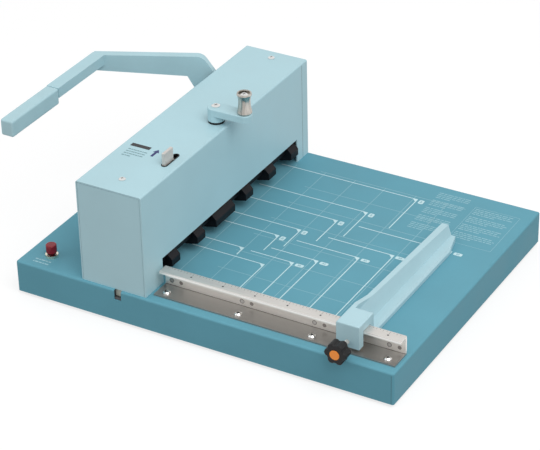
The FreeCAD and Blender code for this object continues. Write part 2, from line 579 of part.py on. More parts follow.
def lock():
    """Slot liner and guide under the cover, with the sliding lock tab."""
    flange = slot_block("liner_flange", ("lock_x - slot_half - lock_rim", "lock_y - lock_rim", "head_top"),
                        ("lock_slot_width + 2 * lock_rim", "lock_slot_length + 2 * lock_rim",
                         "lock_rim_height"), "slot_half + lock_rim - lock_corner_relief")
    sleeve = slot_block("liner_sleeve", ("lock_x - slot_half - lock_rim / 2", "lock_y - lock_rim / 2",
                                         "head_roof"),
                        ("lock_slot_width + lock_rim", "lock_slot_length + lock_rim", "cover_sheet"),
                        "slot_half + lock_rim / 2 - lock_corner_relief")
    opening = slot_block("liner_opening", ("lock_x - slot_half", "lock_y", "head_roof - 1"),
                         ("lock_slot_width", "lock_slot_length", "cover_sheet + lock_rim_height + 2"),
                         "slot_half - lock_corner_relief")
    keep(cut("lock_slot_liner", fuse("liner_solid", flange, sleeve), opening), "lock_slot_liner")
    foot_width = "lock_slot_width + 2 * lock_foot_margin"
    foot_length = "lock_tab_length + 2 * lock_foot_margin"
    foot_y = "lock_y + lock_end_gap - lock_foot_margin"
    cavity_length = f"{foot_length} + lock_slot_length - lock_tab_length"
    cavity_y = f"{foot_y} - lock_end_gap"
    depth = "lock_foot_height + 2 * lock_play"
    outer = block("guide_outer", (f"lock_x - ({foot_width}) / 2 - lock_guide_wall - lock_play",
                                  f"{cavity_y} - lock_guide_wall",
                                  f"head_roof - ({depth}) - lock_guide_wall"),
                  (f"{foot_width} + 2 * lock_guide_wall + 2 * lock_play",
                   f"{cavity_length} + 2 * lock_guide_wall", f"{depth} + lock_guide_wall"))
    cavity = block("guide_cavity",
                   (f"lock_x - ({foot_width}) / 2 - lock_play", cavity_y, f"head_roof - ({depth})"),
                   (f"{foot_width} + 2 * lock_play", cavity_length, depth))
    keep(cut("lock_guide", outer, cavity), "lock_guide")
    foot_low = "head_roof - lock_play - lock_foot_height"
    foot = block("lock_foot", (f"lock_x - ({foot_width}) / 2", foot_y, foot_low),
                 (foot_width, foot_length, "lock_foot_height"))
    tab_blank = block("lock_tab_blank",
                      ("lock_x - lock_tab_thickness / 2", "lock_y + lock_end_gap", foot_low),
                      ("lock_tab_thickness", "lock_tab_length",
                       "lock_foot_height + lock_play + cover_sheet + lock_tab_height"))
    tip = value("head_top + lock_tab_height")
    tab = rounded("lock_tab_upright", tab_blank, "lock_tab_round", lambda edge: at_height(edge, tip))
    keep(fuse("lock_tab", foot, tab), "lock_tab")


def blade_set():
    """Blade, its screws, the carrier and the two yokes."""
    edge = "cut_line - edge_land"
    back = "cut_line - blade_thickness"
    blank = profile("blade_blank", "XZ", [
        ("cut_line", "edge_z"), ("cut_line", "edge_z + blade_height"), (back, "edge_z + blade_height"),
        (back, "edge_z + bevel_height"), (edge, "edge_z")], ("0", "near_face + blade_end_gap", "0"),
        "far_face - (near_face) - 2 * blade_end_gap")
    z = "edge_z + blade_screw_height"
    holes = []
    sockets = []
    screws = []
    for number, y in enumerate(BLADE_SCREWS):
        holes.append(rod(f"blade_hole_{number}", "X", (f"{back} - 1", y, z),
                         "blade_screw_radius + hole_clearance", "blade_thickness + 2"))
        holes.append(rod(f"blade_sink_{number}", "X", ("screw_seat", y, z),
                         "blade_screw_head_radius + hole_clearance", "blade_thickness"))
        sockets.append(rod(f"carrier_hole_{number}", "X", ("carrier_back", y, z),
                           "blade_screw_radius + hole_clearance", "carrier_thickness"))
        screws.append(screw(f"blade_screw_{number}", ("screw_seat", y, z), "X", "blade_screw_radius",
                            "blade_screw_length", "blade_screw_head_radius", "blade_screw_head_height"))
    keep(cut("blade", blank, *holes), "blade")
    keep(group("blade_screws", screws), "blade_screws")
    bar = block("carrier_blank", ("carrier_back", "near_face - tongue_length", "carrier_low"),
                ("carrier_thickness", "far_face - (near_face) + 2 * tongue_length", "carrier_height"))
    prong_low = "pin_z - pin_radius - yoke_clearance"
    leg_front = "yoke_back + yoke_leg_width"
    yokes = []
    for end, y in (("near", "near_yoke"), ("far", "far_yoke")):
        top = "pin_z + pin_radius + yoke_clearance + yoke_prong"
        plate = profile(f"yoke_blank_{end}", "XZ", [
            ("yoke_back", "carrier_low"), ("carrier_back", "carrier_low"),
            ("carrier_back", "carrier_low + yoke_foot_height"),
            (leg_front, "carrier_low + yoke_foot_height"), (leg_front, top), ("yoke_back", top)],
            ("0", y, "0"), "yoke_thickness")
        slot = block(f"yoke_slot_{end}", ("yoke_back - 1", f"{y} - 1", prong_low),
                     ("pin_x + pin_radius + yoke_slot_play - yoke_back + 1", "yoke_thickness + 2",
                      "2 * pin_radius + 2 * yoke_clearance"))
        yokes.append(cut(f"yoke_{end}", plate, slot))
    keep(cut("blade_carrier", bar, *sockets), "blade_carrier")
    keep(group("drive_yokes", yokes), "drive_yokes")


def lever():
    """Shaft, collars, cranks with pins, the cast arm and its grip."""
    shaft_low = "near_plate + shaft_end_gap"
    keep(rod("lever_shaft", "Y", ("pivot_x", shaft_low, "pivot_z"), "shaft_radius",
             f"far_plate - shaft_end_gap - ({shaft_low})"), "lever_shaft")
    collars = []
    cranks = []
    pins = []
    for end, collar_y, crank_y, pin_y in (
            ("near", "near_face + side_play", "near_crank", "near_yoke"),
            ("far", "far_face - side_play - collar_width", "far_crank", "far_crank")):
        ring = rod(f"collar_outer_{end}", "Y", ("pivot_x", collar_y, "pivot_z"), "shaft_radius + collar_wall",
                   "collar_width")
        bore = rod(f"collar_bore_{end}", "Y", ("pivot_x", collar_y, "pivot_z"), "shaft_radius",
                   "collar_width")
        collars.append(cut(f"collar_{end}", ring, bore))
        hub = rod(f"crank_hub_{end}", "Y", ("pivot_x", crank_y, "pivot_z"), "shaft_radius + crank_hub_wall",
                  "crank_thickness")
        eye = rod(f"crank_eye_{end}", "Y", ("pin_x", crank_y, "pin_z"), "pin_radius + crank_eye_wall",
                  "crank_thickness")
        web = block(f"crank_web_{end}", ("0", "0", "0"), ("crank_throw", "crank_thickness",
                                                          "2 * pin_radius + 2 * crank_eye_wall"))
        tilt = FreeCAD.Rotation(Vector(0, 1, 0), SIZES["swing_half"])
        rise = "(pin_radius + crank_eye_wall)"
        put(web, (f"pin_x - {rise} * sin(swing_half * 1 deg)", crank_y,
                  f"pin_z - {rise} * cos(swing_half * 1 deg)"), tilt)
        shaft_bore = rod(f"crank_bore_{end}", "Y", ("pivot_x", crank_y, "pivot_z"), "shaft_radius",
                         "crank_thickness")
        pin_bore = rod(f"crank_pin_bore_{end}", "Y", ("pin_x", crank_y, "pin_z"), "pin_radius",
                       "crank_thickness")
        cranks.append(cut(f"crank_{end}", fuse(f"crank_solid_{end}", hub, eye, web), shaft_bore, pin_bore))
        pins.append(rod(f"drive_pin_{end}", "Y", ("pin_x", pin_y, "pin_z"), "pin_radius",
                        "yoke_thickness + yoke_gap + crank_thickness"))
    keep(group("shaft_collars", collars), "shaft_collars")
    keep(group("drive_cranks", cranks), "drive_cranks")
    keep(group("drive_pins", pins), "drive_pins")
    hub_run = "(pivot_back_gap + lever_start) / cos(lever_heading * 1 deg)"
    outline_points = [
        ("-arm_reach", "-arm_left_drop"), ("-neck_bottom_run", "-arm_right_drop"),
        ("-neck_heel_run", "-neck_heel_drop"), (hub_run, "hub_inset - pivot_drop - hub_radius"),
        (hub_run, "hub_radius - pivot_drop - hub_inset"), ("neck_root_run", "-neck_root_drop"),
        ("-neck_top_run", "arm_rise"), ("-arm_reach", "arm_rise")]
    plate = profile("arm_plate", "XZ", outline_points, ("lever_x", "lever_y", "head_top"), "lever_thickness")
    plate.Placement = FreeCAD.Placement(plate.Placement.Base,
                                        FreeCAD.Rotation(Vector(0, 0, 1), SIZES["lever_heading"]))
    hub_y = "far_crank - hub_gap - hub_length"
    hub = rod("arm_hub", "Y", ("pivot_x", hub_y, "pivot_z"), "hub_radius", "hub_length")
    bar = block("arm_bar", ("bar_outer", "bar_near", "lever_top - bar_height"),
                ("bar_width", "bar_length", "bar_height"))
    tang_length = "grip_length - tang_end_gap"
    tang_place = ("bar_outer + bar_width / 2 - tang_width / 2", f"bar_near - ({tang_length})", "tang_low")
    tang = block("arm_tang", tang_place, ("tang_width", tang_length, "tang_height"))
    doc.recompute()
    plate_round = rounded("arm_plate_round", plate, "elbow_round",
                          lambda edge: is_corner(edge, plate, "-neck_top_run", "arm_rise"))
    bore = rod("arm_bore", "Y", ("pivot_x", hub_y, "pivot_z"), "shaft_radius", "hub_length")
    keep(cut("lever_arm", fuse("arm_solid", plate_round, hub, bar, tang), bore), "lever_arm")
    grip_blank = block("grip_blank", ("bar_outer + bar_width / 2 - grip_width / 2", "bar_near - grip_length",
                                      "lever_top + grip_proud - grip_height"),
                       ("grip_width", "grip_length", "grip_height"))
    grip = rounded("grip_solid", grip_blank, "grip_round", lambda edge: True)
    socket = block("grip_socket", tang_place, ("tang_width", tang_length, "tang_height"))
    keep(cut("lever_grip", grip, socket), "lever_grip")


def clamp():
    """Clamp bar with its toes and the threaded nut."""
    bar = block("clamp_blank", ("clamp_back", "clamp_near", "bar_low"),
                ("clamp_depth", "clamp_far - (clamp_near)", "clamp_height"))
    face = "clamp_back + clamp_depth"
    tip = f"{face} + toe_reach"
    points = [("clamp_back + toe_heel", "clamp_low"), ("clamp_back + toe_heel + toe_sole", "clamp_low"),
              (tip, "clamp_low + toe_front_rise"), (tip, "clamp_low + toe_front_rise + toe_front_height"),
              (face, "clamp_low + toe_front_rise + toe_front_height + toe_reach"),
              ("clamp_back + toe_heel", "clamp_low + toe_front_rise + toe_front_height + toe_reach")]
    toes = []
    for number in range(SIZES["toe_count"]):
        width = "wide_toe_width" if number == WIDE_TOE else "toe_width"
        middle = (f"clamp_near + toe_near_margin + {number} * (clamp_far - toe_far_margin - clamp_near"
                  " - toe_near_margin) / (toe_count - 1)")
        toes.append(profile(f"toe_{number}", "XZ", points, ("0", f"{middle} - {width} / 2", "0"), width))
    holes = [rod(f"clamp_rod_bore_{number}", "Z", ("crank_x", y, "bar_low - 1"),
                 "guide_rod_radius + running_clearance", "clamp_height + 2")
             for number, y in enumerate(GUIDE_RODS)]
    pocket_z = "bar_low + clamp_height - nut_height"
    holes.append(rod("clamp_nut_pocket", "Z", ("crank_x", "crank_y", pocket_z), "nut_radius",
                     "nut_height + 1"))
    holes.append(rod("clamp_spindle_bore", "Z", ("crank_x", "crank_y", "clamp_low - 1"),
                     "spindle_radius + spindle_clearance", "clamp_bar_lift + clamp_height"))
    keep(cut("clamp_bar", fuse("clamp_solid", bar, *toes), *holes), "clamp_bar")
    nut = rod("nut_blank", "Z", ("crank_x", "crank_y", pocket_z), "nut_radius", "nut_height")
    bore = rod("nut_bore", "Z", ("crank_x", "crank_y", pocket_z), "spindle_radius + running_clearance",
               "nut_height")
    keep(cut("clamp_nut", nut, bore), "clamp_nut")


def clamp_crank():
    """Spindle, crank arm, spool knob and their screws."""
    low = "bar_low + spindle_end_lift"
    high = "boss_low + boss_socket"
    collar_top = "beam_low - side_play"
    collar_low = "beam_low - side_play - spindle_collar_height"
    spindle = turned("spindle_blank", [
        ("0", low), ("spindle_radius", low), ("spindle_radius", collar_low),
        ("spindle_collar_radius", collar_low), ("spindle_collar_radius", collar_top),
        ("spindle_radius", collar_top), ("spindle_radius", high), ("0", high)], ("crank_x", "crank_y", "0"))
    screw_low = "arm_high - crank_screw_length"
    tapped = rod("spindle_tapped", "Z", ("crank_x", "crank_y", f"{screw_low} - 1"), "crank_screw_radius",
                 "crank_screw_length * 2")
    keep(cut("clamp_spindle", spindle, tapped), "clamp_spindle")
    boss = rod("crank_boss", "Z", ("crank_x", "crank_y", "boss_low"), "boss_radius", "boss_height")
    arm_z = "arm_high - arm_depth"
    tip = rod("crank_tip", "Z", ("knob_x", "crank_y", arm_z), "arm_tip_radius", "arm_depth")
    lean = "((boss_radius - arm_tip_radius) / arm_length)"
    spread = f"sqrt(1 - {lean} * {lean})"
    web = profile("crank_web", "XY", [
        (f"boss_radius * {lean}", f"-boss_radius * {spread}"),
        (f"arm_length + arm_tip_radius * {lean}", f"-arm_tip_radius * {spread}"),
        (f"arm_length + arm_tip_radius * {lean}", f"arm_tip_radius * {spread}"),
        (f"boss_radius * {lean}", f"boss_radius * {spread}")], ("crank_x", "crank_y", arm_z), "arm_depth")
    solid = fuse("crank_solid", boss, tip, web)
    doc.recompute()
    top = value("arm_high")
    shaped = rounded("crank_shaped", solid, "crank_edge_round", lambda edge: at_height(edge, top))
    socket = rod("crank_socket", "Z", ("crank_x", "crank_y", "boss_low - 1"), "spindle_radius",
                 "boss_socket + 1")
    screw_hole = rod("crank_screw_hole", "Z", ("crank_x", "crank_y", "boss_low"), "crank_screw_radius",
                     "boss_height * 2")
    post_hole = rod("crank_post_hole", "Z", ("knob_x", "crank_y", f"{arm_z} - 1"), "post_radius",
                    "arm_depth + 2")
    keep(cut("crank_arm", shaped, socket, screw_hole, post_hole), "crank_arm")
    keep(screw("crank_screw", ("crank_x", "crank_y", "arm_high"), "Z", "crank_screw_radius",
               "crank_screw_length", "crank_screw_head_radius", "pan_head_height"), "crank_screw")
    spool_low = "arm_high + spool_gap"
    floor = "spool_height - spool_recess_depth"
    bore = "post_radius + running_clearance"
    flare = "(spool_radius - spool_waist)"
    side = [("spool_radius - spool_chamfer", "0")]
    for number in range(SPOOL_STEPS + 1):
        share = 1 - number / SPOOL_STEPS
        side.append((f"spool_waist + {flare} * {share ** 2}",
                     f"spool_waist_height - (spool_waist_height - 2 * spool_chamfer) * {share}"))
    for number in range(1, SPOOL_STEPS + 1):
        share = number / SPOOL_STEPS
        side.append((f"spool_waist + {flare} * {share ** 2}",
                     f"spool_waist_height + (spool_height - spool_rim - spool_waist_height) * {share}"))
    keep(turned("spool_knob", [(bore, "0"), *side, ("spool_radius - spool_rim / 4", "spool_height"),
                               ("spool_recess_radius", "spool_height"), ("spool_recess_radius", floor),
                               (bore, floor)], ("knob_x", "crank_y", spool_low)), "spool_knob")
    post_high = f"{spool_low} + {floor} + spool_gap"
    post = rod("post_blank", "Z", ("knob_x", "crank_y", arm_z), "post_radius", f"{post_high} - ({arm_z})")
    post_tapped = rod("post_tapped", "Z", ("knob_x", "crank_y", f"{post_high} - cover_screw_length"),
                      "cover_screw_radius", "cover_screw_length + 1")
    keep(cut("knob_post", post, post_tapped), "knob_post")
    keep(screw("knob_screw", ("knob_x", "crank_y", post_high), "Z", "cover_screw_radius",
               "cover_screw_length - 1", "knob_screw_head_radius", "pan_head_height"), "knob_screw")


def side_rail():
    """Bent rail with its bolts, the guide strip and the rivets that hold it."""
    top = "deck + rail_height"
    blank = profile("rail_blank", "YZ", [
        ("rail_near", "deck"), ("rail_inner", "deck"), ("rail_inner", top), ("ledge_near", top),
        ("ledge_near", f"{top} - rail_lip"), ("ledge_near + rail_sheet", f"{top} - rail_lip"),
        ("ledge_near + rail_sheet", f"{top} - rail_sheet"), ("rail_wall", f"{top} - rail_sheet"),
        ("rail_wall", "deck + rail_sheet"), ("rail_near", "deck + rail_sheet")],
        ("rail_start", "0", "0"), "rail_end - (rail_start)")
    doc.recompute()
    bends = ((value("ledge_near"), value(top)), (value("rail_inner"), value(top)))
    bent = rounded("rail_bent", blank, "rail_bend_round", lambda edge: along(edge, "X") and any(
        abs(edge.BoundBox.YMin - y) < NEAR and abs(edge.BoundBox.ZMin - z) < NEAR for y, z in bends))
    holes = [rod(f"rail_hole_{number}", "Z", (x, RAIL_BOLT_Y, "deck - 1"),
                 "rail_bolt_radius + hole_clearance", "rail_sheet + 2")
             for number, x in enumerate(RAIL_BOLTS)]
    rivet_z = "deck + rivet_height"
    holes += [rod(f"rail_rivet_hole_{number}", "Y", (x, "rail_wall - 1", rivet_z), "rivet_radius",
                  "rail_sheet + 2") for number, x in enumerate(RIVETS)]
    keep(cut("side_rail", bent, *holes), "side_rail")
    keep(block("guide_strip", ("rail_start", "rail_inner", "deck + strip_lift"),
               ("rail_end - (rail_start)", "strip_thickness", "strip_height")), "guide_strip")
    rivets = [rod(f"rivet_{number}", "Y", (x, "rail_wall", rivet_z), "rivet_radius", "rail_sheet")
              for number, x in enumerate(RIVETS)]
    keep(group("rail_rivets", rivets), "rail_rivets")
    bolts = [screw(f"rail_bolt_{number}", (x, RAIL_BOLT_Y, "deck + rail_sheet"), "Z", "rail_bolt_radius",
                   "rail_bolt_length", "rail_bolt_head_radius", "rail_bolt_head_height")
             for number, x in enumerate(RAIL_BOLTS)]
    keep(group("rail_bolts", bolts), "rail_bolts")


def back_gauge():
    """Cast gauge with its fence, the pad, the clamping screw and the star knob."""
    width = "fence_face + block_width"
    fence_back = "fence_face + fence_thickness"
    block_far = "gauge_near + block_depth"
    ramp_near = "gauge_near + crest_depth"
    ramp_far = "gauge_near + crest_depth + ramp_length"
    plan = profile("gauge_plan", "XY", [
        ("fence_face", "gauge_near"), (width, "gauge_near"), (width, block_far), (fence_back, block_far),
        (fence_back, ramp_far), ("fence_face", ramp_far)],
        ("0", "0", "gauge_low"), "block_top")
    side = profile("gauge_side", "YZ", [
        ("gauge_near", "deck + leg_lift"), ("gauge_foot", "gauge_low"), ("gauge_far", "gauge_low"),
        ("gauge_far", "deck + fence_far_top"), (ramp_far, "deck + fence_near_top"),
        (ramp_near, "deck + block_top"), ("gauge_near", "deck + block_top")],
        ("fence_face", "0", "0"), "block_width")
    flange_far = "gauge_far - flange_far_run"
    flange_plan = profile("gauge_flange_plan", "XY", [
        ("fence_face", "gauge_foot"), ("fence_face + flange_width", "gauge_foot"),
        ("fence_face + flange_width", flange_far),
        ("fence_face + flange_width - flange_far_trim", "gauge_far"), ("fence_face", "gauge_far")],
        ("0", "0", "gauge_low"), "block_top")
    section = profile("gauge_section", "XZ", [
        ("0", "0"), ("flange_width", "0"), ("flange_width", "flange_height - flange_bevel"),
        ("flange_width - flange_bevel", "flange_height"), ("fence_thickness + fence_slope", "flange_height"),
        ("fence_thickness", "fence_near_top"), ("0", "fence_near_top")],
        ("fence_face", "gauge_foot", "gauge_low"), "gauge_far - gauge_foot")
    fence_side = profile("gauge_fence_side", "YZ", [
        ("gauge_foot", "gauge_low"), ("gauge_far", "gauge_low"), ("gauge_far", "deck + fence_far_top"),
        (ramp_far, "deck + fence_near_top"), ("gauge_foot", "deck + fence_near_top")],
        ("fence_face", "0", "0"), "flange_width")
    fence = common("gauge_fence", flange_plan, section, fence_side)
    solid = fuse("gauge_solid", common("gauge_upper", plan, side), fence)
    doc.recompute()
    crown = value("deck + block_top")
    shaped = rounded("gauge_shaped", solid, "gauge_edge_round", lambda edge: at_height(edge, crown))
    leg_back = "gauge_near + leg_thickness"
    channel = block("gauge_channel", ("fence_face - 1", leg_back, "deck - 1"),
                    ("block_width + 2", f"gauge_foot - ({leg_back})", "rail_height + rail_clearance + 1"))
    under_leg = block("gauge_under_leg", ("fence_face - 1", "gauge_near - 1", "deck - 1"),
                      ("block_width + 2", "leg_thickness + 2", "leg_lift + 1"))
    bore = rod("gauge_bore", "Y", ("stud_x", "gauge_near - 1", "stud_z"), "stud_radius + running_clearance",
               "leg_thickness + 2")
    keep(cut("gauge_casting", shaped, channel, under_leg, bore), "gauge_casting")
    pad_near = "rail_wall - pad_gap - pad_thickness"
    pad = rod("pad_blank", "Y", ("stud_x", pad_near, "stud_z"), "pad_radius", "pad_thickness")
    socket = rod("pad_socket_bore", "Y", ("stud_x", pad_near, "stud_z"), "stud_radius + running_clearance",
                 "pad_socket + pad_end_play")
    keep(cut("gauge_pad", pad, socket), "gauge_pad")
    star_far = "star_near + star_depth"
    stud_low = f"{star_far} - star_depth / 2"
    keep(rod("gauge_screw", "Y", ("stud_x", stud_low, "stud_z"), "stud_radius",
             f"{pad_near} + pad_socket - ({stud_low})"), "gauge_screw")
    core = rod("star_core", "Y", ("stud_x", "star_near", "stud_z"), "star_core_radius", "star_depth")
    lobes = []
    for number in range(SIZES["star_lobes"]):
        angle = f"{number} * 360 deg / star_lobes"
        lobes.append(rod(f"star_lobe_{number}", "Y", (f"stud_x + star_lobe_pitch * cos({angle})", "star_near",
                                                      f"stud_z + star_lobe_pitch * sin({angle})"),
                         "star_lobe_radius", "star_depth"))
    star = fuse("star_solid", core, *lobes)
    doc.recompute()
    ends = (value("star_near"), value(star_far))
    shaped = rounded("star_shaped", star, "star_round", lambda edge: any(
        abs(edge.BoundBox.YMin - y) < TINY and abs(edge.BoundBox.YMax - y) < TINY for y in ends))
    neck = rod("star_neck", "Y", ("stud_x", f"{star_far} - 1", "stud_z"), "star_neck_radius",
               "star_neck_length + 1")
    recess = rod("star_recess", "Y", ("stud_x", "star_near", "stud_z"), "cap_radius", "cap_depth")
    bore = rod("star_bore", "Y", ("stud_x", stud_low, "stud_z"), "stud_radius", "star_depth * 2")
    keep(cut("star_knob", fuse("star_whole", shaped, neck), recess, bore), "star_knob")
    keep(rod("knob_cap", "Y", ("stud_x", "star_near - cap_proud", "stud_z"), "cap_radius",
             "cap_depth + cap_proud"), "knob_cap")


def lamp_switch():
    """Switch body through the deck, its ring nut and sprung cap, with the battery box."""
    body_low = "deck - base_sheet - switch_length"
    barrel = rod("switch_blank", "Z", ("button_x", "button_y", body_low), "switch_radius",
                 "switch_length + base_sheet + nut_ring_height")
    well = rod("switch_well", "Z", ("button_x", "button_y", "deck - button_gap"),
               "button_stem_radius + stem_clearance", "button_gap + nut_ring_height + 1")
    shoulder = rod("switch_shoulder", "Z", ("button_x", "button_y", body_low), "nut_ring_radius",
                   "switch_length")
    keep(cut("switch_body", fuse("switch_solid", barrel, shoulder), well), "switch_body")
    ring = rod("nut_ring_blank", "Z", ("button_x", "button_y", "deck"), "nut_ring_radius", "nut_ring_height")
    bore = rod("nut_ring_bore", "Z", ("button_x", "button_y", "deck"), "switch_radius", "nut_ring_height")
    keep(cut("switch_nut", ring, bore), "switch_nut")
    cap_low = "deck + nut_ring_height + button_gap"
    blank = rod("button_blank", "Z", ("button_x", "button_y", cap_low), "button_radius", "button_height")
    doc.recompute()
    tip = value(f"{cap_low} + button_height")
    cap = rounded("button_dome", blank, "button_edge_round", lambda edge: at_height(edge, tip))
    stem = rod("button_stem", "Z", ("button_x", "button_y", "deck + button_gap / 4"), "button_stem_radius",
               "nut_ring_height + button_gap + 1")
    keep(fuse("button_cap", cap, stem), "button_cap")
    keep(block("battery_box", ("left_end + battery_inset", "button_y + battery_gap",
                               "deck - base_sheet - battery_height"),
               ("battery_length", "battery_width", "battery_height")), "battery_box")


base_tray()
base_underside()
frame()
head_cover()
lock()
blade_set()
lever()
clamp()
clamp_crank()
side_rail()
back_gauge()
lamp_switch()
doc.recompute()

os.makedirs("parts", exist_ok=True)
for item in doc.Objects:
    if "Invalid" in item.State or "Error" in item.State:
        raise RuntimeError(item.Name + " did not build")
for item in nodes:
    if item.Shape.isNull() or not item.Shape.isValid():
        raise RuntimeError(item.Label + " has no sound shape")
    item.Shape.exportStep("parts/" + item.Label + ".step")
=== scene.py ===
import json
import math
import bpy
from mathutils import Matrix, Vector


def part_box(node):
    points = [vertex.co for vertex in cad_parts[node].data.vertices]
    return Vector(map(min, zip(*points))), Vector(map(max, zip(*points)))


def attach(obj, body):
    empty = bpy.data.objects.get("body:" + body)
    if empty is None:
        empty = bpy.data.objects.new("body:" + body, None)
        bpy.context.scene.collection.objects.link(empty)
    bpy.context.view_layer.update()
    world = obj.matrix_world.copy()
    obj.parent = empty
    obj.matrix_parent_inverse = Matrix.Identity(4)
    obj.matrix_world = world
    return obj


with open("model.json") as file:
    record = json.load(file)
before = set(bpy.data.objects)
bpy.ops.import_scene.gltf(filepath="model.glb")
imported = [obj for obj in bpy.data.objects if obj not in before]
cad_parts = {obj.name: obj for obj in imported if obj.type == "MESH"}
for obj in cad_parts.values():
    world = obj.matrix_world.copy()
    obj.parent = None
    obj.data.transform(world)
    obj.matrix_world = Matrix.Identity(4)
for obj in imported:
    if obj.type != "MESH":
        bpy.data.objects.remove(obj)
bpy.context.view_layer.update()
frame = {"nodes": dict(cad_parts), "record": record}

NODES = frame["nodes"]
MM = 0.001

# Places on the object in millimetres, in the row frame
DECK = 54.0
HEAD_TOP = 211.0
HEAD_FACE = -83.5
CUT_LINE = -130.5
RAIL_FACE = -182.6

# Height of printed marks above the face they lie on, in millimetres
PRINT_LIFT = 0.12
FAINT_LIFT = PRINT_LIFT / 2

# Segments round a ring
ROUND_STEPS = 28

# Settings shared by the procedural finishes
EVEN = (1, 1, 1)
WHITE = (1, 1, 1, 1)
TINT_DETAIL = 4.0
GRAIN_DETAIL = 3.0
TINT_SPAN = (0.3, 0.7)
GLOSS_SPAN = (0.35, 0.65)
ROUGHNESS_FLOOR = 0.02
RELIEF_DEPTH = 0.0004

# Socket numbers of a colour mix node
MIX_FACTOR = 0
MIX_FIRST = 6
MIX_SECOND = 7
MIX_RESULT = 2


def links(tree, *pairs):
    """Join output sockets to input sockets."""
    for out_socket, in_socket in pairs:
        tree.links.new(out_socket, in_socket)


def new_material(name):
    """A new material, its node tree and its shader."""
    material = bpy.data.materials.new(name)
    material.use_nodes = True
    tree = material.node_tree
    return material, tree, tree.nodes["Principled BSDF"]


def noise_node(tree, scale, detail, stretch):
    """Noise over the object's own coordinates, each axis scaled by a factor."""
    coordinates = tree.nodes.new("ShaderNodeTexCoord")
    mapping = tree.nodes.new("ShaderNodeMapping")
    mapping.inputs["Scale"].default_value = stretch
    noise = tree.nodes.new("ShaderNodeTexNoise")
    noise.inputs["Scale"].default_value = scale
    noise.inputs["Detail"].default_value = detail
    links(tree, (coordinates.outputs["Object"], mapping.inputs["Vector"]),
          (mapping.outputs["Vector"], noise.inputs["Vector"]))
    return noise


def ramp_node(tree, source, low, high, span):
    """A two-colour ramp over a span of a factor."""
    ramp = tree.nodes.new("ShaderNodeValToRGB")
    for element, place, colour in zip(ramp.color_ramp.elements, span, (low, high)):
        element.position = place
        element.color = colour
    links(tree, (source, ramp.inputs["Fac"]))
    return ramp


def shade(colour, factor):
    """A colour made lighter or darker, as four numbers."""
    return tuple(min(1.0, part * factor) for part in colour) + (1.0,)


def surface(name, colour, roughness, metallic=0.0, variation=0.05, scale=60.0, stretch=EVEN, bump=0.0,
            bump_scale=900.0, coat=0.0, roughness_spread=0.06, specular=0.5):
    """A procedural finish: a colour that varies a little, uneven gloss and, if asked, a fine relief."""
    material, tree, shader = new_material(name)
    shader.inputs["Metallic"].default_value = metallic
    shader.inputs["Coat Weight"].default_value = coat
    shader.inputs["Specular IOR Level"].default_value = specular
    noise = noise_node(tree, scale, TINT_DETAIL, stretch)
    dark = shade(colour, 1 - variation)
    light = shade(colour, 1 + variation)
    tint = ramp_node(tree, noise.outputs["Fac"], dark, light, TINT_SPAN)
    low = max(ROUGHNESS_FLOOR, roughness - roughness_spread)
    high = min(1.0, roughness + roughness_spread)
    gloss = ramp_node(tree, noise.outputs["Fac"], shade(EVEN, low), shade(EVEN, high), GLOSS_SPAN)
    links(tree, (tint.outputs["Color"], shader.inputs["Base Color"]),
          (gloss.outputs["Color"], shader.inputs["Roughness"]))
    if bump:
        grain = noise_node(tree, bump_scale, GRAIN_DETAIL, stretch)
        relief = tree.nodes.new("ShaderNodeBump")
        relief.inputs["Strength"].default_value = bump
        relief.inputs["Distance"].default_value = RELIEF_DEPTH
        links(tree, (grain.outputs["Fac"], relief.inputs["Height"]),
              (relief.outputs["Normal"], shader.inputs["Normal"]))
    return material


def paint_shade_by_height(material, bands):
    """Multiply a finish's colour by painted shade: tones, each from a share of the piece's height upwards."""
    tree = material.node_tree
    shader = tree.nodes["Principled BSDF"]
    tint = shader.inputs["Base Color"].links[0].from_socket
    place = tree.nodes.new("ShaderNodeTexCoord")
    split = tree.nodes.new("ShaderNodeSeparateXYZ")
    tones = tree.nodes.new("ShaderNodeValToRGB")
    tones.color_ramp.interpolation = "CONSTANT"
    steps = tones.color_ramp.elements
    steps.remove(steps[1])
    for number, (share, tone) in enumerate(bands):
        step = steps.new(share) if number else steps[0]
        step.color = shade(EVEN, tone)
    mix = tree.nodes.new("ShaderNodeMix")
    mix.data_type = "RGBA"
    mix.blend_type = "MULTIPLY"
    mix.inputs[MIX_FACTOR].default_value = 1.0
    links(tree, (place.outputs["Generated"], split.inputs["Vector"]),
          (split.outputs["Z"], tones.inputs["Fac"]),
          (tint, mix.inputs[MIX_FIRST]), (tones.outputs["Color"], mix.inputs[MIX_SECOND]),
          (mix.outputs[MIX_RESULT], shader.inputs["Base Color"]))


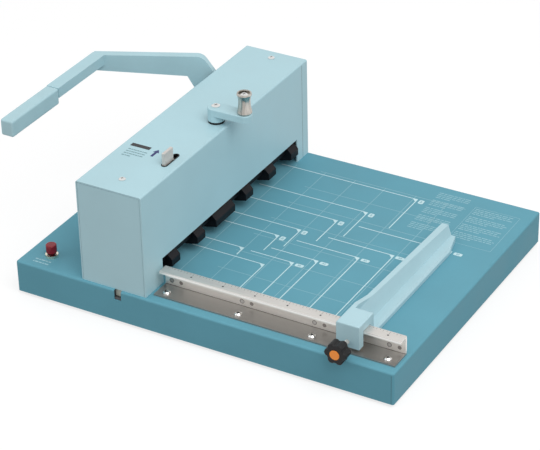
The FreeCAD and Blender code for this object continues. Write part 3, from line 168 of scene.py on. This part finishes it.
# Look of each finish: colour, roughness and what differs from a plain dull surface
LOOKS = {
    "tray_paint": dict(colour=(0.133, 0.357, 0.445), roughness=0.48, variation=0.035, scale=14, bump=0.10,
                       specular=0.08),
    "cover_paint": dict(colour=(0.430, 0.640, 0.700), roughness=0.40, variation=0.025, scale=12, bump=0.08,
                        specular=0.3),
    "lever_paint": dict(colour=(0.420, 0.630, 0.690), roughness=0.38, variation=0.03, scale=20, bump=0.10,
                        specular=0.3),
    "gauge_paint": dict(colour=(0.440, 0.640, 0.700), roughness=0.40, variation=0.03, scale=24, bump=0.12,
                        specular=0.3),
    "grip_plastic": dict(colour=(0.425, 0.625, 0.680), roughness=0.45, variation=0.03, scale=30, bump=0.14,
                         specular=0.3),
    "steel": dict(colour=(0.56, 0.56, 0.54), roughness=0.34, metallic=1.0, variation=0.07, scale=40,
                  stretch=(0.6, 12, 12), bump=0.10, bump_scale=260),
    "rail_steel": dict(colour=(0.97, 0.93, 0.885), roughness=0.34, metallic=0.68, variation=0.04, scale=26,
                       stretch=(0.5, 9, 9), bump=0.06, bump_scale=240, roughness_spread=0.04),
    "fold_shadow": dict(colour=(0.10, 0.09, 0.085), roughness=0.6, variation=0.1, scale=120),
    # Darker steel for the painted reflections of the rail's bolts in its web
    "dimple_steel": dict(colour=(0.36, 0.33, 0.31), roughness=0.45, metallic=0.7, variation=0.08, scale=120),
    "tab_steel": dict(colour=(0.62, 0.59, 0.56), roughness=0.4, metallic=0.35, variation=0.05, scale=80,
                      bump=0.08),
    "blade_steel": dict(colour=(0.62, 0.62, 0.62), roughness=0.25, metallic=1.0, variation=0.06, scale=60,
                        stretch=(8, 0.5, 8), bump=0.06, bump_scale=300),
    "chrome": dict(colour=(0.74, 0.74, 0.73), roughness=0.13, metallic=1.0, variation=0.03, scale=90,
                   roughness_spread=0.03),
    # The knob's darker colour and strong vertical streaks are painted reflections of dark surroundings
    "knob_reflection_steel": dict(colour=(0.46, 0.435, 0.40), roughness=0.24, metallic=1.0, variation=0.45, scale=170,
                       stretch=(1, 1, 0.04), roughness_spread=0.05),
    "nickel": dict(colour=(0.84, 0.78, 0.64), roughness=0.3, metallic=1.0, variation=0.06, scale=90),
    "frame_iron": dict(colour=(0.10, 0.10, 0.105), roughness=0.5, metallic=0.7, variation=0.12, scale=70,
                       bump=0.2),
    "clamp_black": dict(colour=(0.004, 0.004, 0.006), roughness=0.5, variation=0.15, scale=70, bump=0.12,
                        specular=0.22),
    "black_plastic": dict(colour=(0.010, 0.010, 0.011), roughness=0.42, variation=0.12, scale=90, bump=0.12,
                          specular=0.25),
    "orange_plastic": dict(colour=(1.0, 0.30, 0.035), roughness=0.36, variation=0.04, scale=150),
    "red_plastic": dict(colour=(0.230, 0.008, 0.018), roughness=0.24, variation=0.06, scale=150, coat=0.12,
                        specular=0.3),
    "stick_plastic": dict(colour=(0.50, 0.53, 0.46), roughness=0.5, variation=0.06, scale=50, bump=0.1),
    "rubber": dict(colour=(0.016, 0.016, 0.017), roughness=0.75, variation=0.15, scale=120, bump=0.25),
    "brass": dict(colour=(0.66, 0.50, 0.27), roughness=0.34, metallic=1.0, variation=0.06, scale=90),
    "lamp_lens": dict(colour=(0.78, 0.78, 0.72), roughness=0.2, variation=0.04, scale=60),
    "print": dict(colour=(0.56, 0.77, 0.81), roughness=0.5, variation=0.03, scale=90),
    "grid_print": dict(colour=(0.270, 0.500, 0.570), roughness=0.5, variation=0.03, scale=90),
    "note_print": dict(colour=(0.300, 0.530, 0.595), roughness=0.5, variation=0.03, scale=90),
    "head_print": dict(colour=(0.190, 0.330, 0.370), roughness=0.5, variation=0.05, scale=120),
    "arrow_print": dict(colour=(0.010, 0.018, 0.130), roughness=0.45, variation=0.05, scale=120),
    "mark_black": dict(colour=(0.020, 0.020, 0.022), roughness=0.5, variation=0.1, scale=200),
    "seam": dict(colour=(0.045, 0.090, 0.105), roughness=0.6, variation=0.1, scale=120),
}
MATERIALS = {name: surface(name, **look) for name, look in LOOKS.items()}

# Painted shade on the rail, from shares of its height: the flange darkened as if in its web's shade, the web
# as it is, the ledge darkened for how light falls on it
RAIL_PAINTED_SHADE = ((0, 0.35), (0.085, 1.0), (0.96, 0.67))
paint_shade_by_height(MATERIALS["rail_steel"], RAIL_PAINTED_SHADE)

# Finish of each CAD node, from its record slot unless named here
FINISH = {
    "side_rail": "rail_steel",
    "lock_tab": "tab_steel",
    "rail_rivets": "chrome",
    "spool_knob": "knob_reflection_steel",
    "switch_nut": "nickel",
}
for entry in frame["record"]["subparts"]:
    node = NODES[entry["node"]]
    finish = FINISH.get(entry["node"], entry["material_slot"])
    node.data.materials.clear()
    node.data.materials.append(MATERIALS[finish])

# Small edge rounds on sharp-edged pieces, in millimetres
EDGE_ROUNDS = {
    "lever_arm": 2.2,
    "gauge_casting": 0.9,
    "clamp_bar": 1.2,
    "end_panel_near": 0.6,
    "end_panel_far": 0.6,
    "lever_slot_trim": 0.4,
    "lock_tab": 0.4,
    "knob_cap": 0.5,
    "switch_nut": 0.5,
    "crank_washer": 0.4,
    "cutting_stick": 0.3,
    "side_rail": 0.3,
    "crank_arm": 0.6,
}
EDGE_SEGMENTS = 3
EDGE_ANGLE = math.radians(32)
for name, reach in EDGE_ROUNDS.items():
    bevel = NODES[name].modifiers.new("edge_round", "BEVEL")
    bevel.width = reach * MM
    bevel.segments = EDGE_SEGMENTS
    bevel.limit_method = "ANGLE"
    bevel.angle_limit = EDGE_ANGLE
    bevel.harden_normals = True


def mesh_piece(name, vertices, faces, material, body="base"):
    """A mesh from points in millimetres that moves with a body."""
    mesh = bpy.data.meshes.new(name)
    mesh.from_pydata([Vector(point) * MM for point in vertices], [], faces)
    mesh.update()
    piece = bpy.data.objects.new(name, mesh)
    bpy.context.scene.collection.objects.link(piece)
    mesh.materials.append(MATERIALS[material])
    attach(piece, body)


class Sheet:
    """Flat marks on one level, gathered into one mesh."""

    def __init__(self, level):
        self.level = level
        self.vertices = []
        self.faces = []

    def polygon(self, points):
        """One flat face through points in plan."""
        start = len(self.vertices)
        self.vertices += [(x, y, self.level) for x, y in points]
        self.faces.append(list(range(start, start + len(points))))

    def bar(self, x0, y0, x1, y1):
        """A rectangle between two corners."""
        self.polygon([(x0, y0), (x1, y0), (x1, y1), (x0, y1)])

    def rounded_bar(self, x0, y0, x1, y1, radius, count=6):
        """A rectangle with rounded corners."""
        corners = ((x1, y1, 1, 1, 0), (x0, y1, -1, 1, 1), (x0, y0, -1, -1, 2), (x1, y0, 1, -1, 3))
        points = []
        for x, y, side_x, side_y, quarter in corners:
            for number in range(count + 1):
                angle = (quarter + number / count) * math.pi / 2
                points.append((x - side_x * radius + radius * math.cos(angle),
                               y - side_y * radius + radius * math.sin(angle)))
        self.polygon(points)

    def disc(self, x, y, radius, count=20):
        """A disc, or a polygon with few sides."""
        steps = [2 * math.pi * number / count for number in range(count)]
        self.polygon([(x + radius * math.cos(step), y + radius * math.sin(step)) for step in steps])

    def finish(self, name, material, body="base"):
        """Make the mesh."""
        mesh_piece(name, self.vertices, self.faces, material, body)


# Paper-size guides on the deck. A row is a size, its corner's distances from the cutting line and from the
# rail, and the printed run: of the line towards the rail if upright, of the line towards the head if lying.
UPRIGHT = (
    ("B4", 257, 364, 92),
    ("A4", 210, 297, 75),
    ("B5", 182, 257, 64),
    ("A5", 148, 210, 51),
    ("B6", 128, 182, 45),
)
LYING = (
    ("B6", 182, 128, 70),
    ("A5", 210, 148, 76),
    ("B5", 257, 182, 101),
    ("A4", 297, 210, 105),
    ("B4", 364, 257, 148),
)
CARD_CORNER = (100, 130, 20)
HALF_CARD_CORNER = (148, 105)
LINE = 1.5
GUSSET = 6.0
GUIDE_START = HEAD_FACE - 18
GUIDE_FOOT = RAIL_FACE + 1.5

# Label of a guide: gap from the corner, size along X and Y with the word's turn in degrees, corner radius as
# a share of the shorter side, and height of the word
LABEL_GAP = 3.5
TALL_LABEL = (8, 10.5, 90)
WIDE_LABEL = (13, 7, 0)
LABEL_ROUND = 0.3
WORD_SIZE = 4.8
WORD_LEVEL = DECK + 2 * PRINT_LIFT
guides = Sheet(DECK + PRINT_LIFT)
labels = Sheet(DECK + PRINT_LIFT)


def size_word(name, word, x, y, turn):
    """A generic paper-size word lying on its label, turned by some degrees from the rail's direction."""
    curve = bpy.data.curves.new(name, "FONT")
    curve.body = word
    curve.size = WORD_SIZE * MM
    curve.align_x = "CENTER"
    curve.align_y = "CENTER"
    piece = bpy.data.objects.new(name, curve)
    piece.location = Vector((x, y, WORD_LEVEL)) * MM
    piece.rotation_euler = (0, 0, math.radians(turn))
    bpy.context.scene.collection.objects.link(piece)
    bpy.context.view_layer.update()
    graph = bpy.context.evaluated_depsgraph_get()
    mesh = bpy.data.meshes.new_from_object(piece.evaluated_get(graph))
    shown = bpy.data.objects.new(name, mesh)
    shown.location = piece.location
    shown.rotation_euler = piece.rotation_euler
    bpy.data.objects.remove(piece)
    bpy.context.scene.collection.objects.link(shown)
    mesh.materials.clear()
    mesh.materials.append(MATERIALS["tray_paint"])
    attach(shown, "base")


def corner_guide(x, y, start_x, foot_y):
    """A right-angled guide whose corner lies at one sheet corner, with a gusset inside it."""
    guides.bar(start_x, y - LINE, x, y)
    guides.bar(x - LINE, foot_y, x, y - LINE)
    guides.polygon([(x - LINE, y - LINE), (x - LINE - GUSSET, y - LINE), (x - LINE, y - LINE - GUSSET)])


def size_label(name, word, x, y, label):
    """A rounded label with a paper-size word, beside a guide's corner."""
    size_x, size_y, turn = label
    left = x + LABEL_GAP
    labels.rounded_bar(left, y - size_y, left + size_x, y, min(size_x, size_y) * LABEL_ROUND)
    size_word(name, word, left + size_x / 2, y - size_y / 2, turn)


for word, along, across, run in UPRIGHT:
    x = CUT_LINE + along
    y = RAIL_FACE + across
    corner_guide(x, y, GUIDE_START, y - run)
    size_label("size_word_tall_" + word, word, x, y, TALL_LABEL)
for word, along, across, run in LYING:
    x = CUT_LINE + along
    y = RAIL_FACE + across
    corner_guide(x, y, x - run, GUIDE_FOOT)
    size_label("size_word_wide_" + word, word, x, y, WIDE_LABEL)
card_along, card_across, card_run = CARD_CORNER
card_y = RAIL_FACE + card_across
corner_guide(CUT_LINE + card_along, card_y, GUIDE_START, card_y - card_run)
half_along, half_across = HALF_CARD_CORNER
corner_guide(CUT_LINE + half_along, RAIL_FACE + half_across, GUIDE_START, GUIDE_FOOT)
guides.finish("size_guides", "print")
labels.finish("size_labels", "print")

# Blank bars in place of printed words. A panel is two corners in plan; rows are a pitch, the height of a bar
# and a factor on the lengths of the bars.
WORD_RUNS = (7, 4, 9, 5, 6, 3, 8)
WORD_GAP = 1.4
PARAGRAPH_ROWS = 4
LAST_ROW_SHARE = 0.55
NOTE_PANELS = ((146, 100, 198, 214), (213, 101, 277, 196))
NOTE_ROWS = (4.6, 1.5, 1.0)
NOTE_FRAME = (210, 98, 280, 200)
FRAME_LINE = 0.5
HEAD_PANEL = (-172, -143, -141, -118)
HEAD_ROWS = (6.0, 2.2, 0.6)
BUTTON_PANEL = (-17, -28, 9, -14)
BUTTON_ROWS = (6.6, 2.6, 0.7)


def node_middle(name):
    """Middle of a CAD node, in millimetres."""
    low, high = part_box(name)
    return [(a + b) / 2 / MM for a, b in zip(low, high)]


def blank_notes(sheet, panel, rows):
    """Rows of plain bars, spaced like words, in short paragraphs from the far edge of a panel."""
    x0, y0, x1, y1 = panel
    pitch, bar_height, word_scale = rows
    count = 0
    for row in range(int((y1 - y0) / pitch)):
        place = row % (PARAGRAPH_ROWS + 1)
        if place == PARAGRAPH_ROWS:
            continue
        share = LAST_ROW_SHARE if place == PARAGRAPH_ROWS - 1 else 1.0
        end_x = x0 + (x1 - x0) * share
        y = y1 - row * pitch
        x = x0
        while x + WORD_RUNS[count % len(WORD_RUNS)] * word_scale <= end_x:
            run = WORD_RUNS[count % len(WORD_RUNS)] * word_scale
            sheet.bar(x, y - bar_height, x + run, y)
            x += run + WORD_GAP * word_scale
            count += 1


notes = Sheet(DECK + FAINT_LIFT)
for panel in NOTE_PANELS:
    blank_notes(notes, panel, NOTE_ROWS)
frame_x0, frame_y0, frame_x1, frame_y1 = NOTE_FRAME
for x in (frame_x0, frame_x1):
    notes.bar(x, frame_y0, x + FRAME_LINE, frame_y1)
for y in (frame_y0, frame_y1):
    notes.bar(frame_x0 + FRAME_LINE, y, frame_x1, y + FRAME_LINE)
notes.finish("note_rules", "note_print")
head_notes = Sheet(HEAD_TOP + PRINT_LIFT)
blank_notes(head_notes, HEAD_PANEL, HEAD_ROWS)
head_notes.finish("head_notes", "head_print")

# The button's panel is measured from the middle of its nut
button_x, button_y = node_middle("switch_nut")[:2]
panel_x0, panel_y0, panel_x1, panel_y1 = BUTTON_PANEL
button_panel = (button_x + panel_x0, button_y + panel_y0, button_x + panel_x1, button_y + panel_y1)
button_notes = Sheet(DECK + FAINT_LIFT)
blank_notes(button_notes, button_panel, BUTTON_ROWS)
button_notes.finish("button_notes", "note_print")

# Faint grid on the deck, measured from the cutting line and the rail
GRID_PITCH = 50
GRID_LINE = 0.8
GRID_COLUMNS = 6
GRID_ROWS = 8
GRID_FIRST_COLUMN = 50
GRID_FIRST_ROW = 20
GRID_COLUMN_RUN = (4, 372)
GRID_ROW_RUN = (92, 330)
grid = Sheet(DECK + FAINT_LIFT)
for number in range(GRID_COLUMNS):
    x = CUT_LINE + GRID_FIRST_COLUMN + number * GRID_PITCH
    grid.bar(x, RAIL_FACE + GRID_COLUMN_RUN[0], x + GRID_LINE, RAIL_FACE + GRID_COLUMN_RUN[1])
for number in range(GRID_ROWS):
    y = RAIL_FACE + GRID_FIRST_ROW + number * GRID_PITCH
    grid.bar(CUT_LINE + GRID_ROW_RUN[0], y, CUT_LINE + GRID_ROW_RUN[1], y + GRID_LINE)
grid.finish("deck_grid", "grid_print")

# Ruler marks on the ledge of the side rail: from the cutting line, with longer marks at longer pitches
RAIL_LOW, RAIL_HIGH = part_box("side_rail")
LEDGE_HEIGHT = 30
LEDGE_INNER = RAIL_FACE - 1
MARK_START = 60
MARK_END_GAP = 3
MARK_END = int(RAIL_HIGH[0] / MM - CUT_LINE) - MARK_END_GAP
MARK_PITCH = 5
MARK_LENGTHS = ((50, 5.5), (10, 3.6), (MARK_PITCH, 2.2))
MARK_HALF_WIDTH = 0.18
MARK_INSET = 2
DOT_PITCH = 50
DOT_INSET = 10.5
DOT_RADIUS = 1.4
ruler = Sheet(DECK + LEDGE_HEIGHT + PRINT_LIFT)
for step in range(MARK_START, MARK_END, MARK_PITCH):
    length = next(reach for pitch, reach in MARK_LENGTHS if step % pitch == 0)
    x = CUT_LINE + step
    mark_y = LEDGE_INNER - MARK_INSET
    ruler.bar(x - MARK_HALF_WIDTH, mark_y - length, x + MARK_HALF_WIDTH, mark_y)
    if step % DOT_PITCH == 0:
        ruler.disc(x, LEDGE_INNER - DOT_INSET, DOT_RADIUS)
ruler.finish("ruler_marks", "mark_black")

# Painted shade on the side rail: a dark strip along the fold and dark rings round the rivets; and painted
# reflections of the bolts beside the rivets
RIVET_LOW, RIVET_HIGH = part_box("rail_rivets")
RAIL_SHEET = 2.4
WEB_FRONT = RIVET_LOW[1] / MM
WEB_LIFT = 0.05
FLANGE_TOP = DECK + RAIL_SHEET
FOLD_WIDTH = 0.9
FOLD_END_GAP = 0.3
RIVET_COUNT = 4
RIVET_RADIUS = (RIVET_HIGH[2] - RIVET_LOW[2]) / MM / 2
RIVET_LEVEL = (RIVET_HIGH[2] + RIVET_LOW[2]) / MM / 2
RIM_WIDTH = 0.6
BOLT_REFLECTION_SHIFT = 15.0
BOLT_REFLECTION_CORE = 0.01


def upright_ring(centre_x, inner, outer):
    """Points and faces of a flat ring that stands on the rail's web at the rivets' height."""
    points = []
    for step in range(ROUND_STEPS):
        angle = 2 * math.pi * step / ROUND_STEPS
        for radius in (inner, outer):
            points.append((centre_x + radius * math.cos(angle), WEB_FRONT - WEB_LIFT,
                           RIVET_LEVEL + radius * math.sin(angle)))
    size = len(points)
    faces = []
    for step in range(ROUND_STEPS):
        first = 2 * step
        faces.append((first, (first + 2) % size, (first + 3) % size, first + 1))
    return points, faces


# A dark strip on the flange along the fold: painted shade
fold = Sheet(FLANGE_TOP + FAINT_LIFT)
fold.bar(RAIL_LOW[0] / MM + FOLD_END_GAP, WEB_FRONT - FOLD_WIDTH, RAIL_HIGH[0] / MM - FOLD_END_GAP, WEB_FRONT)
fold.finish("rail_fold_shade", "fold_shadow")
rivet_first = RIVET_LOW[0] / MM + RIVET_RADIUS
rivet_pitch = ((RIVET_HIGH[0] - RIVET_LOW[0]) / MM - 2 * RIVET_RADIUS) / (RIVET_COUNT - 1)
for number in range(RIVET_COUNT):
    rivet_x = rivet_first + number * rivet_pitch
    # A dark ring round each rivet head: painted shade
    rim = upright_ring(rivet_x, RIVET_RADIUS - RIM_WIDTH, RIVET_RADIUS)
    mesh_piece(f"rivet_shade_ring_{number}", *rim, "fold_shadow")
    # A darker disc beside each rivet: a painted reflection of a bolt in the web
    reflection_x = rivet_x + BOLT_REFLECTION_SHIFT
    if reflection_x < RAIL_HIGH[0] / MM - RIVET_RADIUS:
        mark = upright_ring(reflection_x, BOLT_REFLECTION_CORE, RIVET_RADIUS - RIM_WIDTH)
        mesh_piece(f"bolt_reflection_{number}", *mark, "dimple_steel")

# Bare plate and lock arrow on the head
PLATE = (-175, -110.6, -144, -102.8)
ARROW_PLACE = (-131.8, -124)
ARROW = ((-2.1, 0), (2.1, 0), (2.1, 12), (5, 12), (0, 20), (-5, 12), (-2.1, 12))
plate = Sheet(HEAD_TOP + PRINT_LIFT)
plate.bar(*PLATE)
plate.finish("bare_plate", "mark_black")
arrow = Sheet(HEAD_TOP + PRINT_LIFT)
arrow.polygon([(ARROW_PLACE[0] + x, ARROW_PLACE[1] + y) for x, y in ARROW])
arrow.finish("lock_arrow", "arrow_print")

# Painted shade of the recesses: dark crosses on the screws and dark hexagons on the rail bolts, just above
# the heads
HEAD_MARK_LIFT = 0.04
CROSS_WIDTH_SHARE = 0.30
COVER_SCREW_X = -132.5
COVER_SCREW_PLACES = (-196.0, 210.0)
COVER_CROSS_ARM = 2.2
CRANK_SCREWS = ("crank_screw", "knob_screw")
CRANK_CROSS_ARM = 3.0
BOLT_COUNT = 4
BOLT_REACH = 5.5
SOCKET_RADIUS = 1.9
SOCKET_SIDES = 6


def node_top(name):
    """Highest level of a CAD node, in millimetres."""
    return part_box(name)[1][2] / MM


def screw_cross(name, x, y, top, arm, body):
    """A dark cross of flat bars on a screw head: painted shade of its cross recess."""
    mark = Sheet(top + HEAD_MARK_LIFT)
    half = arm * CROSS_WIDTH_SHARE / 2
    mark.bar(x - arm, y - half, x + arm, y + half)
    mark.bar(x - half, y - arm, x + half, y - half)
    mark.bar(x - half, y + half, x + half, y + arm)
    mark.finish(name, "mark_black", body)


for number, y in enumerate(COVER_SCREW_PLACES):
    screw_cross(f"cover_cross_{number}", COVER_SCREW_X, y, node_top("cover_screws"), COVER_CROSS_ARM, "base")
for name in CRANK_SCREWS:
    x, y = node_middle(name)[:2]
    screw_cross(name + "_cross", x, y, node_top(name), CRANK_CROSS_ARM, "crank")
bolt_low, bolt_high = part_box("rail_bolts")
first_bolt = bolt_low[0] / MM + BOLT_REACH
last_bolt = bolt_high[0] / MM - BOLT_REACH
bolt_y = node_middle("rail_bolts")[1]
sockets = Sheet(node_top("rail_bolts") + HEAD_MARK_LIFT)
for number in range(BOLT_COUNT):
    x = first_bolt + number * (last_bolt - first_bolt) / (BOLT_COUNT - 1)
    sockets.disc(x, bolt_y, SOCKET_RADIUS, SOCKET_SIDES)
sockets.finish("rail_bolt_sockets", "mark_black")

# Thread on the bare stretch of the gauge screw, between the knob and the casting
THREAD_PITCH = 1.0
THREAD_RADIUS = 3.25
THREAD_DEPTH = 0.6
THREAD_END_GAP = 0.3


def thread_crests(name, start, count, material, body):
    """Rings of triangular section, side by side along Y from a start point."""
    root = THREAD_RADIUS - THREAD_DEPTH
    profile = ((0, root), (THREAD_PITCH / 2, THREAD_RADIUS), (THREAD_PITCH, root))
    start_x, start_y, start_z = start
    vertices = []
    faces = []
    for crest in range(count):
        first = len(vertices)
        for offset, radius in profile:
            y = start_y + crest * THREAD_PITCH + offset
            for step in range(ROUND_STEPS):
                angle = 2 * math.pi * step / ROUND_STEPS
                vertices.append((start_x + radius * math.cos(angle), y, start_z + radius * math.sin(angle)))
        for row in range(len(profile) - 1):
            for step in range(ROUND_STEPS):
                a = first + row * ROUND_STEPS + step
                b = first + row * ROUND_STEPS + (step + 1) % ROUND_STEPS
                faces.append((a, b, b + ROUND_STEPS, a + ROUND_STEPS))
    mesh_piece(name, vertices, faces, material, body)


screw_x = node_middle("gauge_screw")[0]
screw_z = node_middle("gauge_screw")[2]
thread_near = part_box("star_knob")[1][1] / MM + THREAD_END_GAP
thread_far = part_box("gauge_casting")[0][1] / MM - THREAD_END_GAP
thread_count = int((thread_far - thread_near) / THREAD_PITCH)
thread_crests("gauge_screw_thread", (screw_x, thread_near, screw_z), thread_count, "steel", "gauge_knob")

# Seam on the front wall of the head near its far end, and the corner seam of the tray, as opposite corners
COVER_SEAM = ((HEAD_FACE, 213.6, DECK + 0.5), (HEAD_FACE + 0.05, 214.2, HEAD_TOP - 3))
TRAY_SEAM = ((293.6, -232.03, 6), (294.1, -231.9, 50))
BLOCK_FACES = ((0, 1, 3, 2), (4, 6, 7, 5), (0, 4, 5, 1), (2, 3, 7, 6), (0, 2, 6, 4), (1, 5, 7, 3))


def block_piece(name, low, high, material):
    """A plain block between two corners."""
    x_ends, y_ends, z_ends = zip(low, high)
    points = [(x, y, z) for x in x_ends for y in y_ends for z in z_ends]
    mesh_piece(name, points, BLOCK_FACES, material)


block_piece("cover_seam", *COVER_SEAM, "seam")
block_piece("tray_corner_seam", *TRAY_SEAM, "seam")

# Floor, backdrop and light, in metres and watts
FLOOR_SIZE = 14.0
FLOOR_GREY = (0.26, 0.26, 0.26, 1)
FLOOR_ROUGHNESS = 0.9
FLOOR_SPECULAR = 0.1
FLOOR_LIFT = 0.76
WORLD_LIGHT = 0.62
WORLD_SEEN = 1.0
LIGHT_TARGET = (0, 0, 0.1)
KEY_PLACE = (1.5, -0.9, 2.6)
KEY_SIZE = 2.2
KEY_POWER = 49
FILL_PLACE = (-2.0, -1.8, 1.5)
FILL_SIZE = 2.4
FILL_POWER = 12

# The photograph's viewpoint, worked out from the printed guides: degrees, metres, and millimetres of lens
CAMERA_AZIMUTH = math.radians(30.44)
CAMERA_ELEVATION = math.radians(31.08)
CAMERA_ROLL = math.radians(-1.40)
CAMERA_DISTANCE = 3.2026
CAMERA_AIM = Vector((-0.0198, 0.0023, 0.0651))
CAMERA_LENS = 149.83
CAMERA_SENSOR = 36.0
CAMERA_REACH = 50


def seen_rays(tree):
    """One for rays that show a thing to the camera, straight, mirrored or through glass, else none."""
    path = tree.nodes.new("ShaderNodeLightPath")
    shown = path.outputs["Is Camera Ray"]
    for kind in ("Is Glossy Ray", "Is Transmission Ray"):
        either = tree.nodes.new("ShaderNodeMath")
        either.operation = "MAXIMUM"
        links(tree, (shown, either.inputs[0]), (path.outputs[kind], either.inputs[1]))
        shown = either.outputs["Value"]
    return shown


def floor_material():
    """Ground that takes the shadow and is lifted to white for the camera and in reflections."""
    material, tree, shader = new_material("floor_white")
    shader.inputs["Base Color"].default_value = FLOOR_GREY
    shader.inputs["Roughness"].default_value = FLOOR_ROUGHNESS
    shader.inputs["Specular IOR Level"].default_value = FLOOR_SPECULAR
    shader.inputs["Emission Color"].default_value = WHITE
    lift = tree.nodes.new("ShaderNodeMath")
    lift.operation = "MULTIPLY"
    lift.inputs[1].default_value = FLOOR_LIFT
    links(tree, (seen_rays(tree), lift.inputs[0]),
          (lift.outputs["Value"], shader.inputs["Emission Strength"]))
    return material


def floor():
    """A square of plain ground under the object."""
    half = FLOOR_SIZE / 2
    points = [(-half, -half, 0), (half, -half, 0), (half, half, 0), (-half, half, 0)]
    mesh = bpy.data.meshes.new("floor")
    mesh.from_pydata(points, [], [(0, 1, 2, 3)])
    ground = bpy.data.objects.new("floor", mesh)
    bpy.context.scene.collection.objects.link(ground)
    mesh.materials.append(floor_material())


def area_light(name, place, size, power):
    """A soft square lamp pointing at the object."""
    lamp = bpy.data.lights.new(name, "AREA")
    lamp.size = size
    lamp.energy = power
    light = bpy.data.objects.new(name, lamp)
    light.location = place
    direction = Vector(LIGHT_TARGET) - Vector(place)
    light.rotation_euler = direction.to_track_quat("-Z", "Y").to_euler()
    bpy.context.scene.collection.objects.link(light)


def world_light():
    """Even light from all round, white to the camera and in reflections."""
    world = bpy.data.worlds.new("studio")
    bpy.context.scene.world = world
    world.use_nodes = True
    tree = world.node_tree
    background = tree.nodes["Background"]
    background.inputs["Color"].default_value = WHITE
    strength = tree.nodes.new("ShaderNodeMapRange")
    strength.inputs["To Min"].default_value = WORLD_LIGHT
    strength.inputs["To Max"].default_value = WORLD_SEEN
    links(tree, (seen_rays(tree), strength.inputs["Value"]),
          (strength.outputs["Result"], background.inputs["Strength"]))


def camera():
    """A camera at the photograph's viewpoint."""
    level = math.cos(CAMERA_ELEVATION)
    back = Vector((math.sin(CAMERA_AZIMUTH) * level, -math.cos(CAMERA_AZIMUTH) * level,
                   math.sin(CAMERA_ELEVATION)))
    right = (-back).cross(Vector((0, 0, 1))).normalized()
    up = right.cross(-back)
    right_rolled = right * math.cos(CAMERA_ROLL) + up * math.sin(CAMERA_ROLL)
    up_rolled = up * math.cos(CAMERA_ROLL) - right * math.sin(CAMERA_ROLL)
    data = bpy.data.cameras.new("photo_camera")
    data.lens = CAMERA_LENS
    data.sensor_width = CAMERA_SENSOR
    data.sensor_fit = "HORIZONTAL"
    data.clip_end = CAMERA_REACH
    view = bpy.data.objects.new("photo_camera", data)
    turn = Matrix((right_rolled, up_rolled, back)).transposed().to_4x4()
    view.matrix_world = Matrix.Translation(CAMERA_AIM + back * CAMERA_DISTANCE) @ turn
    bpy.context.scene.collection.objects.link(view)
    bpy.context.scene.camera = view


floor()
world_light()
area_light("key", KEY_PLACE, KEY_SIZE, KEY_POWER)
area_light("fill", FILL_PLACE, FILL_SIZE, FILL_POWER)
camera()
bpy.context.scene.view_settings.view_transform = "Standard"

bpy.context.view_layer.update()
